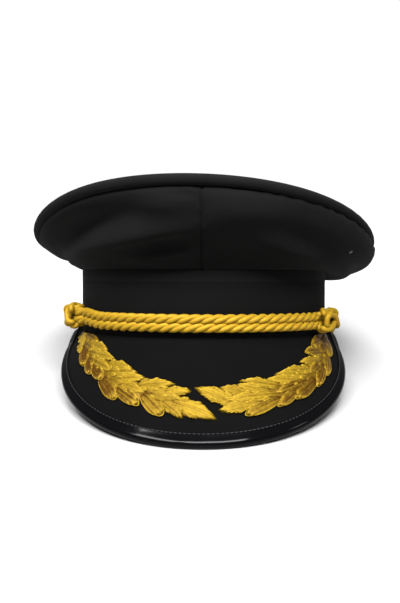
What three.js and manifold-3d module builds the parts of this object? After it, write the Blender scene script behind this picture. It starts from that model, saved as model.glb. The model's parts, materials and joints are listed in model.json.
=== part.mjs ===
// An officer's peaked cap, in millimetres, +Z up, +X to the wearer's left as seen from the front.
// The pieces are modelled in the cap's own frame: the origin is the centre of the head oval in the
// plane of the band's lower edge, and the front is -Y. The finished cap is then leaned back on its
// peak and band as it rests on a table, with the origin under the middle of its box.
import * as THREE from "three";
import { mergeVertices } from "three/addons/utils/BufferGeometryUtils.js";
import { TessellateModifier } from "three/addons/modifiers/TessellateModifier.js";
import Module from "manifold-3d";

const DEGREE = Math.PI / 180;
const GAP = 0.3;

// Head oval, which the band's outer cloth follows
const OVAL_HALF_WIDTH = 85;
const OVAL_HALF_LENGTH = 98;

// Band: an inner stiff ring, a cloth strip round it and a narrow raised strip above
const BAND_HEIGHT = 41;
const BAND_CLOTH = 1.0;
const BAND_CLOTH_TOP = 33.5;
const STRIP_PROUD = 0.2;
const HEADBAND_WALL = 2.2;
const BAND_STATIONS = 64;

// Crown rim: the centre line of the rolled edge, as half sizes and a height that varies round it
const CROWN_HALF_WIDTH = 114.6;
const CROWN_HALF_LENGTH = 133.2;
const CROWN_CENTRE_Y = -0.5;
const RIM_HEIGHT = 69.1;
const RIM_FRONT_LIFT = 14.9;
const RIM_SADDLE_LIFT = 10.2;
const RIM_SHOULDER_LIFT = -2.7;
const RIM_SIDE_TILT = -3;
const RIM_ROLL = 3.4;
const RIM_SEAM_ANGLE = -60;
const CROWN_WALL = 2;
const CROWN_STATIONS = 64;

// Crown panels: how far the cloth bellies out below the straight line from band to rim
const PANEL_BELLY = { front: 1.0, left: 1.0, right: 8.2 };
const PANEL_STATIONS = 33;
const PANEL_ROWS = 8;
const SEAM_HALF_GAP = 0.15;

// Folds of the panels: each runs from one angle and height to another, with its own width and depth.
// Angles are from the front, negative to the left; heights run from 0 at the band to 1 at the rim.
const PANEL_FOLDS = [
  { name: "left diagonal dent", fromAngle: -15, fromHeight: 0.8, toAngle: -66, toHeight: 0.55, halfWidth: 0.14, depth: -3.2 },
  { name: "left ridge", fromAngle: -15, fromHeight: 0.57, toAngle: -54, toHeight: 0.36, halfWidth: 0.12, depth: 1.6 },
  { name: "left seam dent", fromAngle: -21, fromHeight: 0.3, toAngle: -3, toHeight: 0.4, halfWidth: 0.1, depth: -1.6 },
  { name: "right diagonal dent", fromAngle: 14, fromHeight: 0.68, toAngle: 48, toHeight: 0.5, halfWidth: 0.14, depth: -2.2 },
  { name: "right ridge", fromAngle: 14, fromHeight: 0.55, toAngle: 53, toHeight: 0.22, halfWidth: 0.12, depth: 1.2 },
];

// Peak: its reach from the band at each angle, and its slope below the band's plane
const PEAK_REACH = 70;
const PEAK_END_ANGLE = 87.3;
const PEAK_FULLNESS = 2.43;
const PEAK_ROUNDNESS = 0.674;
const PEAK_SLOPE = 60;
const PEAK_SLOPE_FLATTENS = 11.7;
const PEAK_START = 0.9;
const BOARD_THICKNESS = 2.4;
const BOARD_ROWS = 6;
const PEAK_STATIONS = 43;

// Binding: a leather channel over the board's edge
const BINDING_WIDTH = 9;
const BINDING_LEATHER = 0.9;
const BINDING_BEAD = 2.6;
const BINDING_LEAST_WIDTH = 4;

// Oak leaves, in millimetres round the band and down the peak from it. Each row is one leaf from its
// base to its tip, with its half widths on the upper and the lower side.
const SPRAY_RADIUS = 105;
const LEAF_LIFT = 0.3;
const LEAF_EDGE = 0.5;
const LEAF_CROWN = 1.7;
const LEAF_MIDRIB = 1.2;
const LEAF_TUCK = { from: -9, free: 5, least: 1.6 };
const LEAVES_LEFT = [
  { baseAround: -41, baseDown: 36.5, tipAround: 8.5, tipDown: 52.5, upper: 13, lower: 9 },
  { baseAround: -75, baseDown: 22.5, tipAround: -30, tipDown: 41, upper: 11, lower: 11.5 },
  { baseAround: -103, baseDown: 9.5, tipAround: -60, tipDown: 26, upper: 8.5, lower: 11 },
  { baseAround: -125, baseDown: 2, tipAround: -86, tipDown: 14.5, upper: 7, lower: 7.5 },
];
const LEAVES_RIGHT = [
  { baseAround: 46, baseDown: 42, tipAround: -4, tipDown: 33.5, upper: 10, lower: 12 },
  { baseAround: 80, baseDown: 29, tipAround: 36, tipDown: 38, upper: 11, lower: 10.5 },
  { baseAround: 105, baseDown: 14, tipAround: 67, tipDown: 29, upper: 10, lower: 11 },
  { baseAround: 126, baseDown: 3, tipAround: 90, tipDown: 17, upper: 8, lower: 9 },
];

// One oak leaf's edge: along is from base to tip, across is in half widths, and a dip is where two
// lobes meet. Every third row is the bay between two lobes that point towards the tip.
const LEAF_EDGE_ROWS = [
  { along: 0.0, across: 0.1 },
  { along: 0.06, across: 0.55 },
  { along: 0.18, across: 0.9 },
  { along: 0.34, across: 0.86 },
  { along: 0.35, across: 0.6 },
  { along: 0.5, across: 1.0 },
  { along: 0.64, across: 0.92 },
  { along: 0.63, across: 0.52 },
  { along: 0.76, across: 0.62 },
  { along: 0.9, across: 0.3 },
  { along: 1.0, across: 0.04 },
];

// Cap cord: two runs one above the other, closed into one loop round a post at each side
const CORD_DIAMETER = 5.3;
const CORD_HEIGHT = 8.7;
const CORD_SIDES = 8;
const CORD_RUN_STEPS = 24;
const LEFT_KNOT_RISE = 2.2;
const KNOT_ANGLE = 67.4;
const KNOT_LENGTH = 11;
const KNOT_STATIONS = 30;
const KNOT_INNER_RADIUS = 3.3;
const KNOT_OUTER_RADIUS = 6.1;
const KNOT_BIGHTS = 5;
const KNOT_RELIEF = 0.35;
const POST_BEYOND_KNOT = 17;
const POST_STEM = 1.7;
const POST_HEAD = 4;
const POST_HEIGHT = 8.6;
const CORD_TURN_RADIUS = POST_STEM + GAP + 0.05 + CORD_DIAMETER / 2;

const FINISHES = {
  cloth: { color: 0x17171a, roughness: 0.85, metalness: 0 },
  patent: { color: 0x08080a, roughness: 0.15, metalness: 0 },
  bullion: { color: 0xd9a520, roughness: 0.45, metalness: 0.3 },
};

const wasm = await Module();
wasm.setup();

// Point on the oval at an angle from the front, with the outward direction there
function ovalAt(angle, outward = 0) {
  const x = OVAL_HALF_WIDTH * Math.sin(angle);
  const y = -OVAL_HALF_LENGTH * Math.cos(angle);
  const normal = new THREE.Vector3(x / OVAL_HALF_WIDTH ** 2, y / OVAL_HALF_LENGTH ** 2, 0).normalize();
  return { point: new THREE.Vector3(x, y, 0).addScaledVector(normal, outward), normal };
}

// Joins a row of equal sections into one closed solid. Each section is a ring of points, or a chain
// whose two ends lie on the axis when ringed is false. A path that isn't looped gets end faces.
function loft(sections, { ringed = true, looped = true } = {}) {
  const points = [];
  const last = sections.length - (looped ? 0 : 1);
  const size = sections[0].length;
  const triangle = (a, b, c) => {
    const flat = a.distanceTo(b) < 1e-6 || b.distanceTo(c) < 1e-6 || c.distanceTo(a) < 1e-6;
    if (!flat) points.push(a, b, c);
  };
  for (let i = 0; i < last; i += 1) {
    const here = sections[i];
    const next = sections[(i + 1) % sections.length];
    for (let j = 0; j < size - (ringed ? 0 : 1); j += 1) {
      const k = (j + 1) % size;
      triangle(here[j], here[k], next[k]);
      triangle(here[j], next[k], next[j]);
    }
  }
  if (!looped) {
    for (let j = 0; j < size / 2 - 1; j += 1) {
      const [a, b, c, d] = [j, j + 1, size - 2 - j, size - 1 - j];
      const [first, end] = [sections[0], sections[sections.length - 1]];
      triangle(first[a], first[c], first[b]);
      triangle(first[a], first[d], first[c]);
      triangle(end[a], end[b], end[c]);
      triangle(end[a], end[c], end[d]);
    }
  }
  return facing(mergeVertices(new THREE.BufferGeometry().setFromPoints(points), 1e-4));
}

// Turns a closed geometry's faces outwards if its volume comes out negative
function facing(geometry) {
  const position = geometry.attributes.position;
  const index = geometry.index.array;
  const corner = (i) => new THREE.Vector3().fromBufferAttribute(position, index[i]);
  let volume = 0;
  for (let i = 0; i < index.length; i += 3) {
    volume += corner(i).dot(corner(i + 1).cross(corner(i + 2)));
  }
  if (volume < 0) {
    for (let i = 0; i < index.length; i += 3) {
      [index[i + 1], index[i + 2]] = [index[i + 2], index[i + 1]];
    }
  }
  return geometry;
}

function piece(name, geometry, finish) {
  const facets = geometry.toNonIndexed();
  facets.computeVertexNormals();
  const mesh = new THREE.Mesh(facets, new THREE.MeshStandardMaterial(FINISHES[finish]));
  mesh.name = name;
  return mesh;
}

// Angles of evenly spaced stations all the way round
function roundAngles(count) {
  return Array.from({ length: count }, (_, i) => (i * 2 * Math.PI) / count);
}

// Upright ring that follows the oval, between two outward offsets and two heights
function ovalRing(inner, outer, low, high) {
  const sections = roundAngles(BAND_STATIONS).map((angle) => {
    const at = (out, z) => ovalAt(angle, out).point.setZ(z);
    return [at(outer, low), at(outer, high), at(inner, high), at(inner, low)];
  });
  return loft(sections);
}

const headbandOuter = -BAND_CLOTH - GAP;
const headbandInner = headbandOuter - HEADBAND_WALL;

// Centre line of the rolled rim, drawn in towards the middle for the top cloth
function rimAt(angle, share = 1) {
  const height = RIM_HEIGHT
    + share * (RIM_FRONT_LIFT * Math.cos(angle) + RIM_SIDE_TILT * Math.sin(angle))
    + share ** 2 * RIM_SADDLE_LIFT * Math.cos(2 * angle)
    + share ** 3 * RIM_SHOULDER_LIFT * Math.cos(3 * angle);
  const x = share * CROWN_HALF_WIDTH * Math.sin(angle);
  const y = CROWN_CENTRE_Y - share * CROWN_HALF_LENGTH * Math.cos(angle);
  const normal = new THREE.Vector3(Math.sin(angle) / CROWN_HALF_WIDTH, -Math.cos(angle) / CROWN_HALF_LENGTH, 0);
  return { point: new THREE.Vector3(x, y, height), normal: normal.normalize() };
}

// Top cloth: a shallow saddle over the rim, rolled outwards and down to its seam
function crownTop() {
  const shares = [0, 0.35, 0.7];
  const outerTurn = [90, 50, 10, -25, RIM_SEAM_ANGLE];
  const innerTurn = [RIM_SEAM_ANGLE, 10, 90];
  const sections = roundAngles(CROWN_STATIONS).map((angle) => {
    const rim = rimAt(angle);
    const rolled = (turn, radius) => rim.point.clone()
      .addScaledVector(rim.normal, radius * Math.cos(turn * DEGREE))
      .add(new THREE.Vector3(0, 0, radius * Math.sin(turn * DEGREE)));
    const flat = (share, lift) => {
      const point = rimAt(angle, share).point;
      return point.setZ(point.z + lift);
    };
    return [
      ...shares.map((share) => flat(share, RIM_ROLL)),
      ...outerTurn.map((turn) => rolled(turn, RIM_ROLL)),
      ...innerTurn.map((turn) => rolled(turn, RIM_ROLL - CROWN_WALL)),
      ...shares.toReversed().map((share) => flat(share, RIM_ROLL - CROWN_WALL)),
    ];
  });
  return loft(sections, { ringed: false });
}

// Smooth hump of height one at zero that is gone at one
function hump(x) {
  return Math.abs(x) < 1 ? Math.cos((x * Math.PI) / 2) ** 2 : 0;
}

// Sum of the folds at a place on the panels, in millimetres outwards
function foldAt(angle, height) {
  const degrees = angle / DEGREE;
  return PANEL_FOLDS.reduce((sum, fold) => {
    const along = (degrees - fold.fromAngle) / (fold.toAngle - fold.fromAngle);
    const middle = THREE.MathUtils.lerp(fold.fromHeight, fold.toHeight, along);
    const ends = hump((along - 0.5) / 0.75);
    return sum + fold.depth * ends * hump((height - middle) / (2 * fold.halfWidth));
  }, 0);
}

// Outer face of a crown panel: angle round the cap, height from the band at 0 to the rim seam at 1
function panelAt(angle, height) {
  const foot = ovalAt(angle, STRIP_PROUD);
  const low = foot.point.setZ(BAND_HEIGHT + GAP + 0.2);
  const rim = rimAt(angle);
  const high = rim.point.clone().addScaledVector(rim.normal, RIM_ROLL * 0.3);
  high.z -= RIM_ROLL;
  const chord = high.clone().sub(low);
  const reach = chord.dot(foot.normal);
  const outward = foot.normal.clone().multiplyScalar(chord.z).add(new THREE.Vector3(0, 0, -reach)).normalize();
  const side = Math.sin(angle) ** 2;
  const full = angle > 0 ? PANEL_BELLY.right : PANEL_BELLY.left;
  const belly = THREE.MathUtils.lerp(PANEL_BELLY.front, full, side) * 4 * height * (1 - height);
  const fold = foldAt(angle, height) * hump((height - 0.5) / 0.6);
  return low.addScaledVector(chord, height).addScaledVector(outward, belly + fold);
}

// Half of the crown's side, from the front seam to the back seam, as a wall of cloth
function sidePanel(side) {
  const heights = Array.from({ length: PANEL_ROWS }, (_, i) => i / (PANEL_ROWS - 1));
  const sections = [];
  for (let i = 0; i < PANEL_STATIONS; i += 1) {
    const trim = SEAM_HALF_GAP / OVAL_HALF_WIDTH;
    const angle = side * THREE.MathUtils.lerp(trim, Math.PI - trim, i / (PANEL_STATIONS - 1));
    const outer = heights.map((height) => panelAt(angle, height));
    const inner = heights.map((height) => {
      const step = 0.01;
      const up = panelAt(angle, height + step).sub(panelAt(angle, height - step));
      const round = panelAt(angle + step, height).sub(panelAt(angle - step, height));
      const inward = up.cross(round).normalize();
      if (inward.dot(ovalAt(angle).normal) > 0) inward.negate();
      return panelAt(angle, height).addScaledVector(inward, CROWN_WALL);
    });
    sections.push([...outer, ...inner.toReversed()]);
  }
  return loft(sections, { looped: false });
}

// How far the peak reaches from the band at an angle
function peakReach(angle) {
  const share = Math.min(Math.abs(angle) / (PEAK_END_ANGLE * DEGREE), 1);
  return PEAK_REACH * (1 - share ** PEAK_FULLNESS) ** (1 / PEAK_ROUNDNESS);
}

// Point on the peak's upper face, down it from the band, with a lift square to that face
function peakAt(angle, down, lift = 0) {
  const slope = (PEAK_SLOPE - PEAK_SLOPE_FLATTENS * (1 - Math.cos(angle))) * DEGREE;
  const out = down * Math.cos(slope) + lift * Math.sin(slope);
  const drop = down * Math.sin(slope) - lift * Math.cos(slope);
  return ovalAt(angle, out).point.setZ(-drop);
}

// Angles from one end of the peak to the other, out to where its reach falls to a given size
function peakAngles(leastReach) {
  let end = PEAK_END_ANGLE * DEGREE;
  while (peakReach(end) < leastReach) end -= 0.1 * DEGREE;
  return Array.from({ length: PEAK_STATIONS }, (_, i) => {
    const share = (2 * i) / (PEAK_STATIONS - 1) - 1;
    return end * Math.sin((share * Math.PI) / 2) * 0.35 + end * share * 0.65;
  });
}

function peakBoard() {
  const sections = peakAngles(PEAK_START + BINDING_LEAST_WIDTH).map((angle) => {
    const edge = peakReach(angle) - BINDING_LEATHER - GAP - 0.4;
    const downs = Array.from({ length: BOARD_ROWS }, (_, i) => THREE.MathUtils.lerp(PEAK_START, edge, i / (BOARD_ROWS - 1)));
    return [
      ...downs.map((down) => peakAt(angle, down)),
      ...downs.toReversed().map((down) => peakAt(angle, down, -BOARD_THICKNESS)),
    ];
  });
  return loft(sections, { looped: false });
}

// Leather channel: a bead round the board's edge with a lip above and a lip below
function peakBinding() {
  const middle = -BOARD_THICKNESS / 2;
  const clear = BOARD_THICKNESS / 2 + GAP;
  const sections = peakAngles(PEAK_START + BINDING_LEAST_WIDTH).map((angle) => {
    const reach = peakReach(angle);
    const lip = Math.max(reach - BINDING_WIDTH, PEAK_START);
    const bead = reach - BINDING_BEAD;
    const outer = [
      [lip, middle + clear + BINDING_LEATHER * 0.7],
      [bead - 1, middle + clear + BINDING_LEATHER],
      [bead + BINDING_BEAD * 0.7, middle + BINDING_BEAD * 0.62],
      [reach, middle],
    ];
    const inner = [
      [lip, middle + clear],
      [bead - 1, middle + clear],
      [bead + 0.9, middle + clear],
      [reach - BINDING_LEATHER, middle],
    ];
    const mirrored = ([down, lift]) => [down, 2 * middle - lift];
    const ring = [
      ...outer,
      ...outer.slice(0, -1).toReversed().map(mirrored),
      ...inner.slice(0, -1).map(mirrored),
      ...inner.toReversed(),
    ];
    return ring.map(([down, lift]) => peakAt(angle, down, lift));
  });
  return loft(sections, { looped: false });
}

// Closed mesh to a solid that can be joined, and back
function solidFrom(geometry) {
  const triVerts = Uint32Array.from(geometry.index.array);
  return new wasm.Manifold(new wasm.Mesh({ numProp: 3, vertProperties: geometry.attributes.position.array, triVerts }));
}

function geometryFrom(solid) {
  const mesh = solid.getMesh();
  const geometry = new THREE.BufferGeometry();
  geometry.setAttribute("position", new THREE.BufferAttribute(mesh.vertProperties, 3));
  geometry.setIndex(new THREE.BufferAttribute(mesh.triVerts, 1));
  return geometry;
}

// One flat-backed leaf in the plane of around and down, with a raised pad each side of the midrib
function leaf(row) {
  const base = new THREE.Vector2(row.baseAround, row.baseDown);
  const axis = new THREE.Vector2(row.tipAround, row.tipDown).sub(base);
  const along = axis.clone().normalize();
  const upward = new THREE.Vector2(along.y, -along.x);
  if (upward.y > 0) upward.negate();
  const sections = LEAF_EDGE_ROWS.map((edge) => {
    const at = (across, height) => {
      const width = across > 0 ? row.upper : row.lower;
      const lean = 0.06 * Math.abs(across);
      const place = base.clone().addScaledVector(axis, edge.along - lean + 0.06 * edge.across * Math.abs(across));
      place.addScaledVector(upward, across * edge.across * width);
      return new THREE.Vector3(place.x, place.y, height);
    };
    const swell = Math.min(1, 6 * edge.along + 0.3, 5 * (1 - edge.along) + 0.2);
    const pad = LEAF_EDGE + (LEAF_CROWN - LEAF_EDGE) * swell;
    const rib = LEAF_EDGE + (LEAF_MIDRIB - LEAF_EDGE) * swell;
    return [at(-1, 0), at(-1, LEAF_EDGE), at(-0.5, pad), at(0, rib), at(0.5, pad), at(1, LEAF_EDGE), at(1, 0), at(0, 0)];
  });
  return loft(sections, { looped: false });
}

// Place down the peak for a point of a leaf: what would run up under the band is drawn in below it
function tuckedDown(down) {
  const { from, free, least } = LEAF_TUCK;
  if (down >= free) return down;
  const power = (free - from) / (free - least);
  return least + (free - least) * ((down - from) / (free - from)) ** power;
}

// Leaves joined flat, split into small faces and then laid on the curved peak
function oakSpray(rows) {
  const joined = rows.map((row) => solidFrom(leaf(row))).reduce((all, next) => all.add(next));
  const split = new TessellateModifier(9, 5).modify(geometryFrom(joined).toNonIndexed());
  const geometry = mergeVertices(split, 1e-4);
  const position = geometry.attributes.position;
  for (let i = 0; i < position.count; i += 1) {
    const laid = peakAt(position.getX(i) / SPRAY_RADIUS, tuckedDown(position.getY(i)), position.getZ(i) + LEAF_LIFT);
    position.setXYZ(i, laid.x, laid.y, laid.z);
  }
  return facing(geometry);
}

// Millimetres along the band turned into an angle, near the knots
function angleFor(millimetres) {
  return millimetres / Math.hypot(OVAL_HALF_WIDTH * Math.cos(KNOT_ANGLE * DEGREE), OVAL_HALF_LENGTH * Math.sin(KNOT_ANGLE * DEGREE));
}

// Height of the cord's centre: it climbs a little where it comes to the left knot
function cordHeight(angle) {
  const climb = THREE.MathUtils.smoothstep(-angle, (KNOT_ANGLE - 22) * DEGREE, (KNOT_ANGLE - 5) * DEGREE);
  return CORD_HEIGHT + LEFT_KNOT_RISE * climb;
}

const knotOut = KNOT_OUTER_RADIUS + KNOT_RELIEF + GAP;
const cordOut = CORD_DIAMETER / 2 + GAP + 0.05;
const runHeight = CORD_DIAMETER / 2 + 0.1;

// How far the cord's centre stands off the band: it lifts where it goes through a knot
function cordStandoff(angle) {
  const away = (Math.abs(angle) - KNOT_ANGLE * DEGREE) / angleFor(1);
  const lift = 1 - THREE.MathUtils.smoothstep(Math.abs(away), KNOT_LENGTH / 2 + 1, KNOT_LENGTH / 2 + 8);
  return cordOut + (knotOut - cordOut) * lift;
}

// The cord's closed route: over the front, round the right post, back under and round the left post
function cordRoute() {
  const knotAngle = KNOT_ANGLE * DEGREE;
  const runEnd = knotAngle + angleFor(KNOT_LENGTH / 2 + 1);
  const postAngle = knotAngle + angleFor(POST_BEYOND_KNOT);
  const spread = (beyond) => THREE.MathUtils.lerp(
    runHeight,
    CORD_TURN_RADIUS,
    THREE.MathUtils.smoothstep(beyond, KNOT_LENGTH / 2, POST_BEYOND_KNOT - 2),
  );
  const opening = [9.5, 12.5, 15].map((beyond) => ({ angle: knotAngle + angleFor(beyond), rise: spread(beyond) }));
  const run = Array.from({ length: CORD_RUN_STEPS + 1 }, (_, i) => (
    { angle: THREE.MathUtils.lerp(-runEnd, runEnd, i / CORD_RUN_STEPS), rise: runHeight }
  ));
  const turn = [80, 48, 16, -16, -48, -80].map((degrees) => ({
    angle: postAngle + angleFor(CORD_TURN_RADIUS * Math.cos(degrees * DEGREE)),
    rise: CORD_TURN_RADIUS * Math.sin(degrees * DEGREE),
  }));
  const closing = opening.toReversed().map(({ angle, rise }) => ({ angle, rise: -rise }));
  const half = [...run, ...opening, ...turn, ...closing];
  return [...half, ...half.map(({ angle, rise }) => ({ angle: -angle, rise: -rise }))];
}

function capCord() {
  const route = cordRoute().map(({ angle, rise }) => {
    const { point, normal } = ovalAt(angle, cordStandoff(angle));
    return { point: point.setZ(cordHeight(angle) + rise), normal };
  });
  const sections = route.map(({ point, normal }, i) => {
    const before = route[(i + route.length - 1) % route.length].point;
    const after = route[(i + 1) % route.length].point;
    const across = new THREE.Vector3().crossVectors(after.clone().sub(before), normal).normalize();
    const square = new THREE.Vector3().crossVectors(across, after.clone().sub(before)).normalize();
    return Array.from({ length: CORD_SIDES }, (_, j) => {
      const turn = ((j + 0.5) * 2 * Math.PI) / CORD_SIDES;
      return point.clone()
        .addScaledVector(square, (CORD_DIAMETER / 2) * Math.cos(turn))
        .addScaledVector(across, (CORD_DIAMETER / 2) * Math.sin(turn));
    });
  });
  return loft(sections);
}

// Places a shape made round the Z axis on the band: its Y becomes up and its Z runs along the band
function onBand(angle, out) {
  const { point, normal } = ovalAt(angle, out);
  const up = new THREE.Vector3(0, 0, 1);
  const alongBand = new THREE.Vector3().crossVectors(normal, up);
  return new THREE.Matrix4().makeBasis(normal, up, alongBand).setPosition(point.setZ(cordHeight(angle)));
}

// Knot: a barrel round both runs, half a ring over each, with the woven strand's bights as
// scallops at its ends
function cordKnot(side) {
  const half = KNOT_LENGTH / 2;
  const sections = roundAngles(KNOT_STATIONS).map((angle) => {
    const weave = Math.cos(KNOT_BIGHTS * angle);
    const rise = Math.abs(Math.sin(angle)) < 1e-6 ? 0 : Math.sign(Math.sin(angle)) * runHeight;
    const at = (radius, along) => new THREE.Vector3(radius * Math.cos(angle), rise + radius * Math.sin(angle), along);
    return [
      at(KNOT_INNER_RADIUS, -half * 0.85),
      at(KNOT_OUTER_RADIUS - 1.6, -half * (0.94 + 0.06 * weave)),
      at(KNOT_OUTER_RADIUS + KNOT_RELIEF * weave - 0.3, -half * 0.45),
      at(KNOT_OUTER_RADIUS - KNOT_RELIEF * weave, 0),
      at(KNOT_OUTER_RADIUS + KNOT_RELIEF * weave - 0.3, half * 0.45),
      at(KNOT_OUTER_RADIUS - 1.6, half * (0.94 + 0.06 * weave)),
      at(KNOT_INNER_RADIUS, half * 0.85),
      at(KNOT_INNER_RADIUS, 0),
    ];
  });
  return loft(sections).applyMatrix4(onBand(side * KNOT_ANGLE * DEGREE, knotOut));
}

// Post: a turned pin with a domed head, which the end of the cord goes round
function cordPost(side) {
  const underHead = cordOut + CORD_DIAMETER / 2 + GAP;
  const profile = [
    [0, GAP], [POST_STEM, GAP], [POST_STEM, underHead], [POST_HEAD, underHead],
    [POST_HEAD, underHead + 0.8], [POST_HEAD * 0.6, POST_HEIGHT - 0.4], [0, POST_HEIGHT],
  ];
  const turned = new THREE.LatheGeometry(profile.map(([radius, height]) => new THREE.Vector2(radius, height)), 12);
  turned.deleteAttribute("normal").deleteAttribute("uv");
  const angle = side * (KNOT_ANGLE * DEGREE + angleFor(POST_BEYOND_KNOT));
  const { point, normal } = ovalAt(angle);
  const outward = new THREE.Quaternion().setFromUnitVectors(new THREE.Vector3(0, 1, 0), normal);
  turned.applyQuaternion(outward).translate(point.x, point.y, cordHeight(angle));
  return withoutSlivers(mergeVertices(turned, 1e-4));
}

// Drops the faces that have shrunk to a line at a pole
function withoutSlivers(geometry) {
  const index = geometry.index.array;
  const kept = [];
  for (let i = 0; i < index.length; i += 3) {
    const [a, b, c] = [index[i], index[i + 1], index[i + 2]];
    if (a !== b && b !== c && c !== a) kept.push(a, b, c);
  }
  return facing(geometry.setIndex(kept));
}

// Lean at rest: the peak's bead and the band's back edge touch the table together
function restLean() {
  const bead = peakAt(0, PEAK_REACH - BINDING_BEAD, -BOARD_THICKNESS / 2);
  const run = OVAL_HALF_LENGTH - bead.y;
  return Math.atan2(-bead.z, run) + Math.asin(BINDING_BEAD / Math.hypot(run, bead.z));
}

const cap = new THREE.Group();
cap.add(
  piece("headband", ovalRing(headbandInner, headbandOuter, 0, BAND_HEIGHT), "cloth"),
  piece("cap_band", ovalRing(-BAND_CLOTH, 0, 0, BAND_CLOTH_TOP), "cloth"),
  piece("band_strip", ovalRing(-BAND_CLOTH, STRIP_PROUD, BAND_CLOTH_TOP + GAP, BAND_HEIGHT), "cloth"),
  piece("side_panel_left", sidePanel(-1), "cloth"),
  piece("side_panel_right", sidePanel(1), "cloth"),
  piece("crown_top", crownTop(), "cloth"),
  piece("peak_board", peakBoard(), "cloth"),
  piece("peak_binding", peakBinding(), "patent"),
  piece("oak_spray_left", oakSpray(LEAVES_LEFT), "bullion"),
  piece("oak_spray_right", oakSpray(LEAVES_RIGHT), "bullion"),
  piece("cap_cord", capCord(), "bullion"),
);
for (const [name, side] of [["left", -1], ["right", 1]]) {
  cap.add(piece(`cord_knot_${name}`, cordKnot(side), "bullion"));
  cap.add(piece(`cord_post_${name}`, cordPost(side), "bullion"));
}

// Lean the cap back as it rests, then bring the origin under the middle of its box
cap.rotation.x = -restLean();
cap.updateMatrixWorld(true);
const box = new THREE.Box3().setFromObject(cap, true);
const middle = box.getCenter(new THREE.Vector3());
cap.position.set(-middle.x, -middle.y, -box.min.z);

const model = new THREE.Group();
model.add(cap);
export default model;
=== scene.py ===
import json
import logging
import math
import random
from collections.abc import Callable, Sequence
from dataclasses import dataclass, field
from enum import Enum
from functools import partial

import bmesh
import bpy
from mathutils import Matrix, Vector, noise


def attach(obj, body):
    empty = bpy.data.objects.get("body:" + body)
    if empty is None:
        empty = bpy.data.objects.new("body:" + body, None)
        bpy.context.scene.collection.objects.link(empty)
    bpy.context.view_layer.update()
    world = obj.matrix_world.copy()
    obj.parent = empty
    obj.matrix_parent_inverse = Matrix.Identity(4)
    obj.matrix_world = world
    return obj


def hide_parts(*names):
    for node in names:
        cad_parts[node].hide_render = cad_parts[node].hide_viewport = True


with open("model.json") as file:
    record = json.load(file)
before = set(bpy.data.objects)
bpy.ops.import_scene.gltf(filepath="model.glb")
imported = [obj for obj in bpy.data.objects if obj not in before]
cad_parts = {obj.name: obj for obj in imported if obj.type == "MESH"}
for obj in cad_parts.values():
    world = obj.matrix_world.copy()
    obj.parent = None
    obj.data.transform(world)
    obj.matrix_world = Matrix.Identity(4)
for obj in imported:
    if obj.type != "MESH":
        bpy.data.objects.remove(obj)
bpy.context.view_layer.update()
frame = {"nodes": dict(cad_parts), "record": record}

LOG = logging.getLogger("officer_cap")
BODY = "root"
WEAVE_MAP = "weave"
# Vertex brightness that mixes the threads' colours; it holds painted light and shade and random tone.
TONE = "tone"
MILLIMETRE = 0.001
MERGE = 1e-4
SEED = 7
FOLD_FADE = 0.75

Shape = bmesh.types.BMesh
Material = bpy.types.Material
NodeTree = bpy.types.NodeTree
Socket = bpy.types.NodeSocket
Place = Callable[[float, float], Vector]
Shade = Callable[[float, float], float]
Path = Callable[[float], tuple[Vector, Vector, Vector]]
Station = tuple[Vector, Vector]


class Slot(Enum):
    """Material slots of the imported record."""

    WOOL = "wool_cloth"
    PEAK = "peak_cloth"
    PATENT = "patent_leather"
    EMBROIDERY = "bullion_embroidery"
    CORD = "gold_cord"
    POST = "gilt_post"


class Side(Enum):
    """Side of the cap as seen from the front, with its sign along X."""

    LEFT = -1
    RIGHT = 1


def lerp(low: float, high: float, share: float) -> float:
    """Value a share of the way from low to high."""
    return low + (high - low) * share


def smoothstep(value: float, low: float, high: float) -> float:
    """Smooth rise from 0 at low to 1 at high."""
    share = min(max((value - low) / (high - low), 0.0), 1.0)
    return share * share * (3 - 2 * share)


def hump(value: float) -> float:
    """Smooth hump of height one at zero that is gone at one."""
    return math.cos(value * math.pi / 2) ** 2 if abs(value) < 1 else 0.0


def bell(value: float, width: float) -> float:
    """Bell curve of height one at zero."""
    return math.exp(-((value / width) ** 2))


def arch(share: float) -> float:
    """Arch of height one halfway between 0 and 1."""
    return 4 * share * (1 - share)


def rounded(value: float, power: float = 2.0) -> float:
    """Round profile of height one at zero that ends at one, squarer for a higher power."""
    return max(1 - abs(value) ** power, 0.0) ** 0.5


def oval_normal(angle: float, half_width: float, half_length: float) -> Vector:
    """Outward direction of an oval at an angle from its front."""
    return Vector((math.sin(angle) / half_width, -math.cos(angle) / half_length, 0.0)).normalized()


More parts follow.
